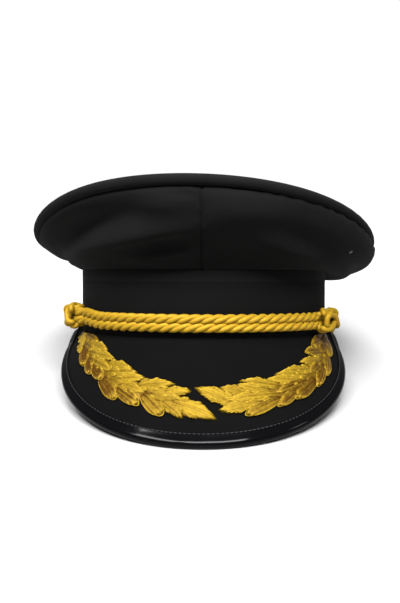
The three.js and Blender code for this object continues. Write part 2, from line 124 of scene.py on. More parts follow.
@dataclass(frozen=True)
class CapFrame:
    """The cap's own frame, in millimetres, with the head oval's centre as origin and the front at -Y.

    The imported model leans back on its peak. The lean and the origin come from the mount on the band's
    lower face.

    Attributes:
        to_part: from this frame to the part's, in metres.
        half_width, half_length: half sizes of the head oval, which is the band's outer face.
        band_cloth_top, strip_bottom, band_top: heights of the band's cloth and of the strip over it.
        crown_width, crown_length: half sizes of the crown at its rim.
    """

    to_part: Matrix
    half_width: float
    half_length: float
    band_cloth_top: float
    strip_bottom: float
    band_top: float
    crown_width: float
    crown_length: float

    @classmethod
    def from_model(cls) -> "CapFrame":
        """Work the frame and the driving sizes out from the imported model.

        Returns:
            The cap's own frame.
        """
        mount = frame["record"]["mounts"][0]
        axis = Vector(mount["axis"])
        place = Vector(mount["pos_m"])
        lean = math.atan2(-axis.y, -axis.z)
        origin = Matrix.Translation((0.0, place.y, place.z))
        to_part = origin @ Matrix.Rotation(-lean, 4, "X") @ Matrix.Scale(MILLIMETRE, 4)
        to_cap = to_part.inverted()

        def span(node: str) -> tuple[Vector, Vector]:
            """Lowest and highest corner of a node in the cap's own frame."""
            points = [to_cap @ vertex.co for vertex in frame["nodes"][node].data.vertices]
            low = Vector(min(point[index] for point in points) for index in range(3))
            high = Vector(max(point[index] for point in points) for index in range(3))
            return low, high

        band_high = span("cap_band")[1]
        strip_low, strip_high = span("band_strip")
        crown_low, crown_high = span("crown_top")
        return cls(
            to_part=to_part,
            half_width=band_high.x,
            half_length=band_high.y,
            band_cloth_top=band_high.z,
            strip_bottom=strip_low.z,
            band_top=strip_high.z,
            crown_width=(crown_high.x - crown_low.x) / 2,
            crown_length=(crown_high.y - crown_low.y) / 2,
        )

    def normal(self, angle: float) -> Vector:
        """Outward direction of the head oval at an angle from the front."""
        return oval_normal(angle, self.half_width, self.half_length)

    def oval(self, angle: float, outward: float = 0.0, height: float = 0.0) -> Vector:
        """Point on the head oval, moved outwards and up."""
        foot = Vector((self.half_width * math.sin(angle), -self.half_length * math.cos(angle), height))
        return foot + self.normal(angle) * outward

    def round_length(self, angle: float) -> float:
        """Length round the oval for one radian at an angle."""
        return math.hypot(self.half_width * math.cos(angle), self.half_length * math.sin(angle))


CAP = CapFrame.from_model()


# Mesh helpers

def add_sheet(shape: Shape, columns: int, rows: int, place: Place, shade: Shade | None = None,
              map_size: tuple[float, float] = (1.0, 1.0)) -> None:
    """Bend a flat grid into a surface and close the edges that meet.

    Args:
        shape: the mesh that the surface goes into.
        columns: faces along the first share.
        rows: faces along the second share.
        place: point for a first and a second share, each 0 to 1, in millimetres.
        shade: brightness of the thread for the same shares.
        map_size: size of the weave map along both shares, in millimetres.
    """
    weave = shape.loops.layers.uv.get(WEAVE_MAP) or shape.loops.layers.uv.new(WEAVE_MAP)
    layer = shape.verts.layers.float.get(TONE) or shape.verts.layers.float.new(TONE)
    made = bmesh.ops.create_grid(shape, x_segments=columns, y_segments=rows, size=1.0, calc_uvs=True)
    faces = {face for vertex in made["verts"] for face in vertex.link_faces}
    for loop in (loop for face in faces for loop in face.loops):
        first, second = loop[weave].uv
        loop[weave].uv = (first * map_size[0], second * map_size[1])
    for vertex in made["verts"]:
        shares = ((vertex.co.x + 1) / 2, (vertex.co.y + 1) / 2)
        vertex[layer] = shade(*shares) if shade else 1.0
        vertex.co = place(*shares)
    bmesh.ops.remove_doubles(shape, verts=made["verts"], dist=MERGE)


def sheet(columns: int, rows: int, place: Place, map_size: tuple[float, float] = (1.0, 1.0)) -> Shape:
    """Make a new mesh that holds one bent grid.

    Args:
        columns: faces along the first share.
        rows: faces along the second share.
        place: point for a first and a second share, each 0 to 1, in millimetres.
        map_size: size of the weave map along both shares, in millimetres.

    Returns:
        The new mesh.
    """
    shape = bmesh.new()
    add_sheet(shape, columns, rows, place, map_size=map_size)
    return shape


def pour_into(shape: Shape, part: Shape) -> None:
    """Move a small mesh into a large one, which is far quicker than working in the large one.

    Args:
        shape: the large mesh.
        part: the small one, which is used up.
    """
    carrier = bpy.data.meshes.new("carrier")
    part.to_mesh(carrier)
    part.free()
    shape.from_mesh(carrier)
    bpy.data.meshes.remove(carrier)


def facing_out(shape: Shape) -> None:
    """Turn the faces of a closed mesh outwards.

    Args:
        shape: the mesh.
    """
    bmesh.ops.recalc_face_normals(shape, faces=shape.faces[:])
    if shape.calc_volume(signed=True) < 0:
        bmesh.ops.reverse_faces(shape, faces=shape.faces[:])


def soften(shape: Shape, width: float, least_angle: float = math.radians(50), segments: int = 3) -> None:
    """Round the sharp edges of a mesh.

    Args:
        shape: the mesh.
        width: width of the rounding in millimetres.
        least_angle: edges that turn by more than this are sharp.
        segments: steps across the rounding.
    """
    sharp = [edge for edge in shape.edges if edge.is_manifold and edge.calc_face_angle(0.0) > least_angle]
    bmesh.ops.bevel(shape, geom=sharp, offset=width, offset_type="OFFSET", affect="EDGES", segments=segments,
                    profile=0.5, material=-1, clamp_overlap=True)


def walled(shape: Shape, outside: Vector, facing: Vector, wall: float, edge: float) -> Shape:
    """Face a surface outwards and give it a wall behind it, with rounded rims.

    Args:
        shape: a surface in one piece.
        outside: a point on the surface.
        facing: the outward direction there.
        wall: thickness of the cloth in millimetres.
        edge: width of the rounding along the rims.

    Returns:
        The same mesh, now a closed wall.
    """
    bmesh.ops.recalc_face_normals(shape, faces=shape.faces[:])
    nearest = min(shape.faces, key=lambda face: (face.calc_center_median() - outside).length)
    if nearest.normal.dot(facing) < 0:
        bmesh.ops.reverse_faces(shape, faces=shape.faces[:])
    bmesh.ops.solidify(shape, geom=shape.faces[:], thickness=wall)
    facing_out(shape)
    soften(shape, edge)
    return shape


def finish_piece(name: str, shape: Shape, material: Material, slot: Slot, nodes: Sequence[str] = (),
                 place: Matrix | None = None) -> bpy.types.Object:
    """Turn a mesh into a piece of the cap that rides on its body.

    Args:
        name: name of the piece.
        shape: mesh in the cap's own frame, in millimetres, which is used up.
        material: finish of the piece.
        slot: the record's material slot; not used.
        nodes: the model's nodes that this piece stands for.
        place: where the mesh goes in the cap's own frame, if it was made elsewhere.

    Returns:
        The piece, with its place in its mesh.
    """
    facing_out(shape)
    mesh = bpy.data.meshes.new(name)
    shape.to_mesh(mesh)
    shape.free()
    mesh.transform(CAP.to_part @ (place or Matrix.Identity(4)))
    mesh.shade_smooth()
    mesh.materials.append(material)
    piece = bpy.data.objects.new(name, mesh)
    bpy.context.scene.collection.objects.link(piece)
    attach(piece, BODY)
    if nodes:
        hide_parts(*nodes)
    mesh.calc_loop_triangles()
    LOG.info("%s: %d triangles", name, len(mesh.loop_triangles))
    return piece


# Finishes

def linear(hex_colour: str) -> tuple[float, float, float, float]:
    """Turn an sRGB colour into linear light.

    Args:
        hex_colour: the colour as a number sign and six hex digits.

    Returns:
        Red, green and blue with full alpha.
    """
    channels = [int(hex_colour[start:start + 2], 16) / 255 for start in (1, 3, 5)]
    light = [value / 12.92 if value <= 0.04045 else ((value + 0.055) / 1.055) ** 2.4 for value in channels]
    return (light[0], light[1], light[2], 1.0)


def add_node(tree: NodeTree, kind: str, output: str, inputs: dict[str | int, object] | None = None,
             **settings: object) -> Socket:
    """Add a shader node with its settings and links.

    Args:
        tree: the node tree.
        kind: the node's type, without ShaderNode in front.
        output: name of the output that is wanted.
        inputs: a value, or a socket to link, for each named or numbered input.
        settings: the node's own settings.

    Returns:
        The wanted output.
    """
    node = tree.nodes.new(f"ShaderNode{kind}")
    for name, value in settings.items():
        setattr(node, name, value)
    for name, value in (inputs or {}).items():
        if isinstance(value, Socket):
            tree.links.new(value, node.inputs[name])
        else:
            node.inputs[name].default_value = value
    return node.outputs[output]


@dataclass(frozen=True)
class Finish:
    """Finish with a name, whose shader each kind of finish builds in its own way."""

    name: str

    def shader(self, tree: NodeTree) -> Socket:
        """Build the shader in a material's node tree."""
        raise NotImplementedError

    def material(self) -> Material:
        """Make the material that shows the finish.

        Returns:
            The new material.
        """
        material = bpy.data.materials.new(self.name)
        material.use_nodes = True
        tree = material.node_tree
        tree.nodes.clear()
        output = tree.nodes.new("ShaderNodeOutputMaterial")
        tree.links.new(self.shader(tree), output.inputs["Surface"])
        return material


@dataclass(frozen=True)
class WoolCloth(Finish):
    """Black worsted wool serge, a fine twill that is fulled a little, so it is matt with a soft nap.

    Sizes are in millimetres. Serge has a rib about every 0.45 mm. Here a rib is twice as wide, so that it
    shows in the render.
    """

    deep: str = "#080808"
    light: str = "#131313"
    rib_pitch: float = 0.9
    rib_turn: float = 63.0
    fibre_size: float = 0.35
    shade_size: float = 24.0
    relief: float = 0.12
    bump: float = 0.35
    roughness: float = 0.85
    specular: float = 0.02
    sheen: float = 0.03
    sheen_roughness: float = 0.45
    sheen_tint: str = "#9A9A9A"
    speck: Vector | None = None
    speck_radius: float = 1.6
    speck_colour: str = "#626260"

    def with_speck(self, tree: NodeTree, place: Socket, colour: Socket) -> Socket:
        """Lay a speck of pale lint on the cloth.

        Args:
            tree: the material's node tree.
            place: place in the part, in metres.
            colour: colour of the bare cloth.

        Returns:
            The colour with the speck.
        """
        radius = self.speck_radius * MILLIMETRE
        away = add_node(tree, "VectorMath", "Value", {0: place, 1: tuple(self.speck)}, operation="DISTANCE")
        cover = add_node(
            tree, "MapRange", "Result", {"Value": away, "From Min": radius, "From Max": radius * 0.4}
        )
        return add_node(
            tree, "Mix", "Result", {"Factor": cover, "A": colour, "B": linear(self.speck_colour)},
            data_type="RGBA",
        )

    def shader(self, tree: NodeTree) -> Socket:
        """Twill ribs from the piece's own weave map, with fibres and slow shade changes.

        Args:
            tree: the material's node tree.

        Returns:
            The shader's output.
        """
        weave = add_node(tree, "UVMap", "UV", uv_map=WEAVE_MAP)
        turn = (0.0, 0.0, math.radians(self.rib_turn))
        ribs = add_node(tree, "Mapping", "Vector", {"Vector": weave, "Rotation": turn})
        twill = add_node(
            tree, "TexWave", "Fac",
            {"Vector": ribs, "Scale": math.pi / (10 * self.rib_pitch), "Distortion": 0.6, "Detail": 1.0,
             "Detail Scale": 3.0},
            wave_type="BANDS", bands_direction="X",
        )
        fibres = add_node(
            tree, "TexNoise", "Fac",
            {"Vector": weave, "Scale": 1 / self.fibre_size, "Detail": 3.0, "Roughness": 0.6},
        )
        place = add_node(tree, "TexCoord", "Object")
        shade = add_node(
            tree, "TexNoise", "Fac",
            {"Vector": place, "Scale": 1 / (self.shade_size * MILLIMETRE), "Detail": 2.0},
        )
        faint = add_node(tree, "MapRange", "Result", {"Value": shade, "To Min": 0.4, "To Max": 0.6})
        blend = add_node(tree, "Math", "Value", {0: fibres, 1: faint}, operation="MULTIPLY")
        wide = add_node(tree, "MapRange", "Result", {"Value": blend, "From Min": 0.12, "From Max": 0.4})
        colour = add_node(
            tree, "Mix", "Result", {"Factor": wide, "A": linear(self.deep), "B": linear(self.light)},
            data_type="RGBA",
        )
        if self.speck:
            colour = self.with_speck(tree, place, colour)
        height = add_node(tree, "Math", "Value", {0: twill, 1: fibres}, operation="ADD")
        surface = add_node(
            tree, "Bump", "Normal",
            {"Height": height, "Strength": self.bump, "Distance": self.relief * MILLIMETRE},
        )
        return add_node(
            tree, "BsdfPrincipled", "BSDF",
            {"Base Color": colour, "Normal": surface, "Roughness": self.roughness,
             "Specular IOR Level": self.specular, "Sheen Weight": self.sheen,
             "Sheen Roughness": self.sheen_roughness, "Sheen Tint": linear(self.sheen_tint)},
        )


@dataclass(frozen=True)
class PatentLeather(Finish):
    """Black leather under a thick brushed lacquer: mirror-like, but never quite flat.

    Ripples are in millimetres.
    """

    colour: str = "#050506"
    ripple_size: float = 9.0
    ripple_depth: float = 0.08
    roughness: float = 0.11
    unevenness: float = 0.3
    specular: float = 0.08

    def shader(self, tree: NodeTree) -> Socket:
        """Lacquer with slow ripples from the leather below.

        Args:
            tree: the material's node tree.

        Returns:
            The shader's output.
        """
        place = add_node(tree, "TexCoord", "Object")
        ripple = add_node(
            tree, "TexNoise", "Fac",
            {"Vector": place, "Scale": 1 / (self.ripple_size * MILLIMETRE), "Detail": 2.0, "Roughness": 0.4},
        )
        surface = add_node(
            tree, "Bump", "Normal",
            {"Height": ripple, "Strength": 1.0, "Distance": self.ripple_depth * MILLIMETRE},
        )
        rough = add_node(
            tree, "MapRange", "Result",
            {"Value": ripple, "To Min": self.roughness * (1 - self.unevenness),
             "To Max": self.roughness * (1 + self.unevenness)},
        )
        return add_node(
            tree, "BsdfPrincipled", "BSDF",
            {"Base Color": linear(self.colour), "Normal": surface, "Roughness": rough,
             "Specular IOR Level": self.specular},
        )


@dataclass(frozen=True)
class GoldThread(Finish):
    """Gilt thread, a yellow silk core wound with gilt wire: satin, with painted light where it lies on top.

    Filaments are in millimetres, drawn a few times coarser than the real 0.05 mm wire, so that they show.
    """

    # deep is the colour of the painted shade and bright that of the painted light, mixed by the tone.
    deep: str = "#4C2F01"
    bright: str = "#9C8020"
    filament_pitch: float = 0.22
    filament_turn: float = 20.0
    relief: float = 0.05
    bump: float = 0.5
    wear_per_metre: float = 450.0
    wear: float = 0.45
    metallic: float = 0.4
    roughness: float = 0.42
    specular: float = 0.15

    def shader(self, tree: NodeTree) -> Socket:
        """Colour from the tone on the mesh, which holds painted light and shade, with fine filaments along
        it.

        Args:
            tree: the material's node tree.

        Returns:
            The shader's output.
        """
        weave = add_node(tree, "UVMap", "UV", uv_map=WEAVE_MAP)
        turn = (0.0, 0.0, math.radians(self.filament_turn))
        turned = add_node(tree, "Mapping", "Vector", {"Vector": weave, "Rotation": turn})
        filaments = add_node(
            tree, "TexWave", "Fac",
            {"Vector": turned, "Scale": math.pi / (10 * self.filament_pitch), "Distortion": 0.8},
            wave_type="BANDS", bands_direction="Y",
        )
        place = add_node(tree, "TexCoord", "Object")
        worn = add_node(
            tree, "TexNoise", "Fac", {"Vector": place, "Scale": self.wear_per_metre, "Detail": 3.0}
        )
        change = add_node(
            tree, "MapRange", "Result", {"Value": worn, "To Min": -self.wear, "To Max": self.wear}
        )
        tone = add_node(tree, "Attribute", "Fac", attribute_name=TONE)
        level = add_node(tree, "Math", "Value", {0: tone, 1: change}, operation="ADD", use_clamp=True)
        colour = add_node(
            tree, "Mix", "Result", {"Factor": level, "A": linear(self.deep), "B": linear(self.bright)},
            data_type="RGBA",
        )
        surface = add_node(
            tree, "Bump", "Normal",
            {"Height": filaments, "Strength": self.bump, "Distance": self.relief * MILLIMETRE},
        )
        return add_node(
            tree, "BsdfPrincipled", "BSDF",
            {"Base Color": colour, "Normal": surface, "Metallic": self.metallic, "Roughness": self.roughness,
             "Specular IOR Level": self.specular},
        )


@dataclass(frozen=True)
class GiltBrass(Finish):
    """Turned brass under a thin gilt layer: bright metal, rubbed a little dull by fingers."""

    bright: str = "#D8A83C"
    dull: str = "#9C7222"
    clouds_per_metre: float = 400.0
    roughness: float = 0.28

    def shader(self, tree: NodeTree) -> Socket:
        """Metal with dull clouds where fingers have touched it.

        Args:
            tree: the material's node tree.

        Returns:
            The shader's output.
        """
        place = add_node(tree, "TexCoord", "Object")
        cloud = add_node(
            tree, "TexNoise", "Fac", {"Vector": place, "Scale": self.clouds_per_metre, "Detail": 4.0}
        )
        colour = add_node(
            tree, "Mix", "Result", {"Factor": cloud, "A": linear(self.dull), "B": linear(self.bright)},
            data_type="RGBA",
        )
        rough = add_node(
            tree, "MapRange", "Result",
            {"Value": cloud, "To Min": self.roughness * 1.5, "To Max": self.roughness * 0.7},
        )
        return add_node(
            tree, "BsdfPrincipled", "BSDF", {"Base Color": colour, "Metallic": 1.0, "Roughness": rough}
        )


@dataclass(frozen=True)
class PaintedBoard(Finish):
    """Board under matt emulsion paint: one even colour without gloss."""

    colour: str = "#9C9C9C"

    def shader(self, tree: NodeTree) -> Socket:
        """One matt colour.

        Args:
            tree: the material's node tree.

        Returns:
            The shader's output.
        """
        return add_node(
            tree, "BsdfPrincipled", "BSDF",
            {"Base Color": linear(self.colour), "Roughness": 0.9, "Specular IOR Level": 0.1},
        )


# Cap band, its strip and the stiff ring behind them

@dataclass
class Band:
    """Upright cloth band round the head oval, with a narrow raised strip above it and a stiff ring inside."""

    cloth_wall: float = 1.0
    strip_proud: float = 0.12
    gap: float = 0.3
    ring_wall: float = 2.2
    seam: float = 0.02
    waviness: float = 0.05
    waves: float = 4.0
    join_width: float = 0.7
    join_depth: float = 0.3
    columns: int = 320
    rows: int = 24

    def ring(self, outward: float, low: float, high: float, wall: float, edge: float) -> Shape:
        """Make a ring between two heights.

        Args:
            outward: outer face's distance from the head oval.
            low: lower edge's height.
            high: upper edge's height.
            wall: thickness of the ring.
            edge: rounding of its edges.

        Returns:
            The ring as a closed wall.
        """
        length = math.tau * (CAP.half_width + CAP.half_length) / 2

        def place(round_share: float, height_share: float) -> Vector:
            """Point of the ring's outer face, a little uneven as glued cloth is."""
            angle = (round_share - 0.5) * math.tau
            spot = Vector((math.sin(angle), math.cos(angle), height_share * 0.6)) * self.waves
            wave = noise.noise(spot + Vector((low, 0, 0)))
            join = bell((abs(angle) - math.pi) * CAP.half_length, self.join_width)
            out = outward - self.waviness * (0.5 - 0.5 * wave) - self.join_depth * join
            return CAP.oval(angle, out, lerp(low, high, height_share))

        shape = sheet(self.columns, self.rows, place, (length, high - low))
        return walled(shape, CAP.oval(0.0, outward, (low + high) / 2), CAP.normal(0.0), wall, edge)

    def build(self, cloth: Material, strip_cloth: Material) -> None:
        """Make the three rings.

        Args:
            cloth: finish of the band and the stiff ring, the darker copy of the wool, as painted shade.
            strip_cloth: finish of the strip, the crown's lighter copy, as painted light in the crown's
                shadow.
        """
        inner = -self.cloth_wall - self.gap
        strip_wall = self.cloth_wall + self.strip_proud
        meet = (CAP.band_cloth_top + CAP.strip_bottom) / 2
        rings = {
            "headband": (cloth, inner, 0.0, CAP.band_top, self.ring_wall, 0.6),
            "cap_band": (cloth, 0.0, 0.0, meet - self.seam, self.cloth_wall, 0.06),
            "band_strip": (strip_cloth, self.strip_proud, meet + self.seam, CAP.band_top, strip_wall, 0.1),
        }
        for name, (material, *sizes) in rings.items():
            finish_piece(name, self.ring(*sizes), material, Slot.WOOL, [name])


# Crown

@dataclass(frozen=True)
class Fold:
    """Fold of a crown panel, from one angle and height to another.

    Angles are in degrees from the front, negative to the left. Heights run from 0 at the band to 1 at the
    rim. Depth is in millimetres, outwards if positive.
    """

    name: str
    from_angle: float
    from_height: float
    to_angle: float
    to_height: float
    half_width: float
    depth: float

    def at(self, degrees: float, height: float) -> float:
        """How far the fold moves the cloth out.

        Args:
            degrees: place round the crown.
            height: 0 at the band and 1 at the rim.

        Returns:
            The distance.
        """
        along = (degrees - self.from_angle) / (self.to_angle - self.from_angle)
        middle = lerp(self.from_height, self.to_height, along)
        return self.depth * hump((along - 0.5) / FOLD_FADE) * hump((height - middle) / (2 * self.half_width))


MAIN_FOLDS = (
    Fold("left diagonal dent", -14, 0.8, -76, 0.6, 0.16, -4.2),
    Fold("left ridge", 6, 0.66, -56, 0.34, 0.12, 2.0),
    Fold("left seam dent", -21, 0.3, -3, 0.4, 0.1, -1.6),
    Fold("right diagonal dent", 18, 0.62, 52, 0.5, 0.14, -1.4),
    Fold("right ridge", 14, 0.55, 53, 0.22, 0.12, 1.2),
)

FINE_FOLDS = (
    Fold("brow right of the seam", -1, 0.84, 25, 0.81, 0.14, 1.6),
    Fold("brow left of the seam", -20, 0.83, -1, 0.86, 0.12, 1.5),
    Fold("crease under the rim", -10, 0.95, -1, 0.93, 0.03, -0.5),
    Fold("low ridge left of the seam", -1, 0.17, -36, 0.2, 0.085, 1.1),
    Fold("left flank crease", -70, 0.4, -110, 0.5, 0.1, -1.0),
    Fold("right flank crease", 62, 0.5, 108, 0.64, 0.13, -1.0),
    Fold("left back crease", -128, 0.62, -160, 0.35, 0.1, -1.2),
    Fold("right back crease", 125, 0.35, 158, 0.6, 0.1, -1.2),
)


@dataclass(frozen=True)
class PanelSeams:
    """How a crown panel's cloth is drawn in along its seams and puckers beside them.

    Widths and depths are in millimetres. Heights, and spans of height, are shares of the panel's height.
    """

    half_gap: float = 0.02
    groove_width: float = 0.8
    groove_depth: float = 0.8
    approach_width: float = 3.5
    approach_depth: float = 0.35
    pucker_depth: float = 0.12
    pucker_pace: float = 42.0
    slip: float = 0.5
    slip_height: float = 0.78
    slip_span: float = 0.035
    slip_width: float = 6.0
    rim_depth: float = 1.5
    rim_span: float = 0.03
    foot_depth: float = 0.15
    foot_span: float = 0.015
    scallop_left: float = 0.1
    scallop_right: float = 0.55
    scallop_from: float = 10.0
    scallop_to: float = 35.0
    scallop_span: float = 0.06
    scallop_pace: float = 62.0
    scallop_unevenness: float = 17.0
    side_crowding: float = 0.93
    edge_crowding: float = 0.75

    def crowd(self, round_share: float, height: float) -> tuple[float, float]:
        """Crowd the mesh's columns towards both upright seams, and its rows towards both edges."""
        return (
            round_share - self.side_crowding * math.sin(math.tau * round_share) / math.tau,
            height - self.edge_crowding * math.sin(math.tau * height) / math.tau,
        )

    def drawn_in(self, angle: float, height: float) -> float:
        """How far the seams draw the cloth in.

        Args:
            angle: place round the crown.
            height: 0 at the band and 1 at the rim.

        Returns:
            The depth in millimetres.
        """
        from_front = abs(angle) * CAP.half_length
        from_back = (math.pi - abs(angle)) * CAP.half_length
        groove = bell(from_front, self.groove_width) + bell(from_back, self.groove_width)
        approach = bell(from_front, self.approach_width) + bell(from_back, self.approach_width)
        side = math.copysign(1.0, angle)
        puckers = self.pucker_depth * approach * math.sin(height * self.pucker_pace + side)
        rim = self.rim_depth * bell(1 - height, self.rim_span)
        foot = self.foot_depth * bell(height, self.foot_span)
        rightwards = smoothstep(math.degrees(angle), self.scallop_from, self.scallop_to)
        scallop = lerp(self.scallop_left, self.scallop_right, rightwards)
        pace = math.sin(angle * self.scallop_pace + math.sin(angle * self.scallop_unevenness))
        scallops = scallop * bell(1 - height, self.scallop_span) * pace
        return self.groove_depth * groove + self.approach_depth * approach + rim + foot - puckers - scallops

    def slipped(self, angle: float, height: float) -> float:
        """Angle by which the cloth at the front seam slips aside near the rim."""
        near = bell(abs(angle) * CAP.half_length, self.slip_width)
        return self.slip * bell(height - self.slip_height, self.slip_span) * near / CAP.half_width


@dataclass
class Crown:
    """Flared cloth crown: two side panels and a saddle-shaped top rolled over a stiff rim.

    Attributes:
        roll_from: angle at which the roll starts, straight up.
        roll_to: angle down to which the top cloth goes round the roll.
        front_lift: how much the rim rises at the front and falls at the back.
        side_tilt: how much it falls at the right.
        saddle_lift: how much it rises at front and back and falls at both sides.
        shoulder_lift: the same in three waves round the rim, which rounds its shoulders.
        belly_front, belly_left, belly_right: how far the panels belly out below the straight line.
        belly_low, belly_high: share of the front belly at the band, and how much more of it at the rim.
        shoulder_right: how far the right panel stands out round a height just under the rim.
        foot_out, foot_up: where the panels start on the strip.
        tuck: how far they run in under the roll, as a share of its radius.
        fold_gain: depth of all folds together.
        fold_span: half height over which the main folds fade out.
        crumple, crumple_pace: depth of the cloth's slow unevenness, and waves along and up the panel.
        sag, sag_noise, sag_pace: how far the top hangs, and depth and waves of its unevenness.
        tension: depth of the creases where the top is drawn over the rim.
        piping, piping_pace: depth of the waves round the roll, and their number in a radian.
        flat_end: share of the top's grid that the flat cloth takes, before the roll.
    """

    roll: float = 3.4
    roll_from: float = 90.0
    roll_to: float = -92.0
    wall: float = 2.0
    edge: float = 0.3
    centre_y: float = -0.5
    rim_height: float = 69.1
    front_lift: float = 14.9
    side_tilt: float = -3.0
    saddle_lift: float = 10.2
    shoulder_lift: float = -2.7
    front_left_lift: float = 0.7
    front_left_angle: float = -0.66
    front_left_width: float = 0.5
    foot_out: float = 0.2
    foot_up: float = 0.05
    tuck: float = 0.3
    belly_front: float = 6.0
    belly_left: float = 1.2
    belly_right: float = 10.2
    belly_low: float = 0.55
    belly_high: float = 0.9
    shoulder_right: float = 3.8
    shoulder_height: float = 0.9
    shoulder_span: float = 0.36
    fold_gain: float = 2.4
    fold_span: float = 0.6
    crumple: float = 0.35
    crumple_pace: tuple[float, float] = (0.035, 2.2)
    sag: float = 1.6
    sag_noise: float = 0.5
    sag_pace: float = 0.022
    tension: float = 0.12
    piping: float = 0.06
    piping_pace: float = 64.0
    flat_end: float = 0.8
    panel_columns: int = 300
    panel_rows: int = 72
    top_columns: int = 360
    top_rows: int = 72
    seams: PanelSeams = PanelSeams()

    def __post_init__(self) -> None:
        """Take the rim's half sizes from the model's own top, whose roll has a step at 10 degrees."""
        widest_turn = math.cos(math.radians(10))
        self.half_width = CAP.crown_width - self.roll * widest_turn
        self.half_length = CAP.crown_length - self.roll * widest_turn

    def rim(self, angle: float, share: float = 1.0) -> tuple[Vector, Vector]:
        """Centre line of the rolled rim.

        Args:
            angle: place round the crown.
            share: how far out from the crown's middle, where 1 is the rim itself.

        Returns:
            The point and the outward direction there.
        """
        height = (
            self.rim_height
            + share * (self.front_lift * math.cos(angle) + self.side_tilt * math.sin(angle))
            + share**2 * self.saddle_lift * math.cos(2 * angle)
            + share**3 * self.shoulder_lift * math.cos(3 * angle)
            + share**2 * self.front_left_lift * bell(angle - self.front_left_angle, self.front_left_width)
        )
        across = share * self.half_width * math.sin(angle)
        ahead = self.centre_y - share * self.half_length * math.cos(angle)
        return Vector((across, ahead, height)), oval_normal(angle, self.half_width, self.half_length)

    def panel(self, angle: float, height: float) -> Vector:
        """Point on a panel's outer face, without its seams.

        Args:
            angle: place round the crown.
            height: 0 at the band and 1 at the rim.

        Returns:
            The point, with the panel's belly, shoulder and folds.
        """
        foot = CAP.oval(angle, self.foot_out, CAP.band_top + self.foot_up)
        out = CAP.normal(angle)
        rim, rim_out = self.rim(angle)
        top = rim + rim_out * self.roll * self.tuck - Vector((0, 0, self.roll))
        chord = top - foot
        square = (out * chord.z - Vector((0, 0, chord.dot(out)))).normalized()
        sideways = math.sin(angle) ** 2
        full = self.belly_right if angle > 0 else self.belly_left
        top_heavy = lerp(self.belly_low + self.belly_high * height, 1.0, sideways)
        belly = lerp(self.belly_front, full, sideways) * arch(height) * top_heavy
        shoulder = self.shoulder_right * sideways * hump((height - self.shoulder_height) / self.shoulder_span)
        degrees = math.degrees(angle)
        main = sum(fold.at(degrees, height) for fold in MAIN_FOLDS) * hump((height - 0.5) / self.fold_span)
        fine = sum(fold.at(degrees, height) for fold in FINE_FOLDS)
        folds = (main + fine) * self.fold_gain
        pace, rise = self.crumple_pace
        crumple = self.crumple * noise.noise(Vector((top.x * pace, top.y * pace, height * rise)))
        point = foot + chord * height + square * (belly + folds + crumple * hump(height * 2 - 1))
        return point + out * shoulder if angle > 0 else point

    def seamed_panel(self, side: Side, round_share: float, height: float) -> Vector:
        """Point on a panel's outer face, drawn in along its seams.

        Args:
            side: which half of the crown.
            round_share: 0 at the front seam and 1 at the back seam.
            height: 0 at the band and 1 at the rim.

        Returns:
            The point.
        """
        crowded, rise = self.seams.crowd(round_share, height)
        trim = self.seams.half_gap / CAP.half_width
        angle = side.value * lerp(trim, math.pi - trim, crowded)
        step = 0.01
        up = self.panel(angle, rise + step) - self.panel(angle, rise - step)
        across = self.panel(angle + step, rise) - self.panel(angle - step, rise)
        outward = across.cross(up).normalized()
        if outward.dot(CAP.normal(angle)) < 0:
            outward.negate()
        here = self.panel(angle + self.seams.slipped(angle, rise), rise)
        return here - outward * self.seams.drawn_in(angle, rise)

    def side_panel(self, side: Side) -> Shape:
        """Make half of the crown's side.

        Args:
            side: which half.

        Returns:
            A wall of cloth.
        """
        length = math.pi * (self.half_width + self.half_length) / 2
        place = partial(self.seamed_panel, side)
        shape = sheet(self.panel_columns, self.panel_rows, place, (length, 60.0))
        middle = side.value * math.pi / 2
        return walled(shape, self.panel(middle, 0.5), CAP.normal(middle), self.wall, self.edge)

    def top_point(self, round_share: float, out_share: float) -> Vector:
        """Point on the outer face of the top: flat cloth first, then the roll down to its seam.

        Args:
            round_share: place round the crown, 0 and 1 at the back.
            out_share: 0 in the crown's middle and 1 at the seam under the rim.

        Returns:
            The point.
        """
        angle = (round_share - 0.5) * math.tau
        if out_share > self.flat_end:
            rim, out = self.rim(angle)
            gone = (out_share - self.flat_end) / (1 - self.flat_end)
            turn = math.radians(lerp(self.roll_from, self.roll_to, gone))
            piping = self.piping * math.sin(angle * self.piping_pace)
            radius = self.roll + piping * hump((math.degrees(turn) - 10) / 90)
            return rim + out * radius * math.cos(turn) + Vector((0, 0, radius * math.sin(turn)))
        share = out_share / self.flat_end
        point = self.rim(angle, share)[0]
        uneven = self.sag_noise * noise.noise(Vector((point.x, point.y, 0.0)) * self.sag_pace)
        creases = self.tension * math.sin(angle * 23.0 + 2 * math.sin(angle * 5.0))
        rise = uneven - self.sag * hump(share) + creases * smoothstep(share, 0.72, 0.97)
        return point + Vector((0, 0, self.roll + rise * (1 - smoothstep(share, 0.9, 1.0))))

    def top(self) -> Shape:
        """Make the top cloth over the rim, with its weave laid flat across it.

        Returns:
            A wall of cloth.
        """
        shape = sheet(self.top_columns, self.top_rows, self.top_point)
        weave = shape.loops.layers.uv[WEAVE_MAP]
        for loop in (loop for face in shape.faces for loop in face.loops):
            loop[weave].uv = (loop.vert.co.x, loop.vert.co.y - loop.vert.co.z)
        return walled(shape, self.top_point(0.5, 0.0), Vector((0, 0, 1)), self.wall, self.edge)

    def build(self, cloth: Material) -> None:
        """Make both panels and the top.

        Args:
            cloth: finish of all three.
        """
        for side in Side:
            name = f"side_panel_{side.name.lower()}"
            finish_piece(name, self.side_panel(side), cloth, Slot.WOOL, [name])
        finish_piece("crown_top", self.top(), cloth, Slot.WOOL, ["crown_top"])


# Peak

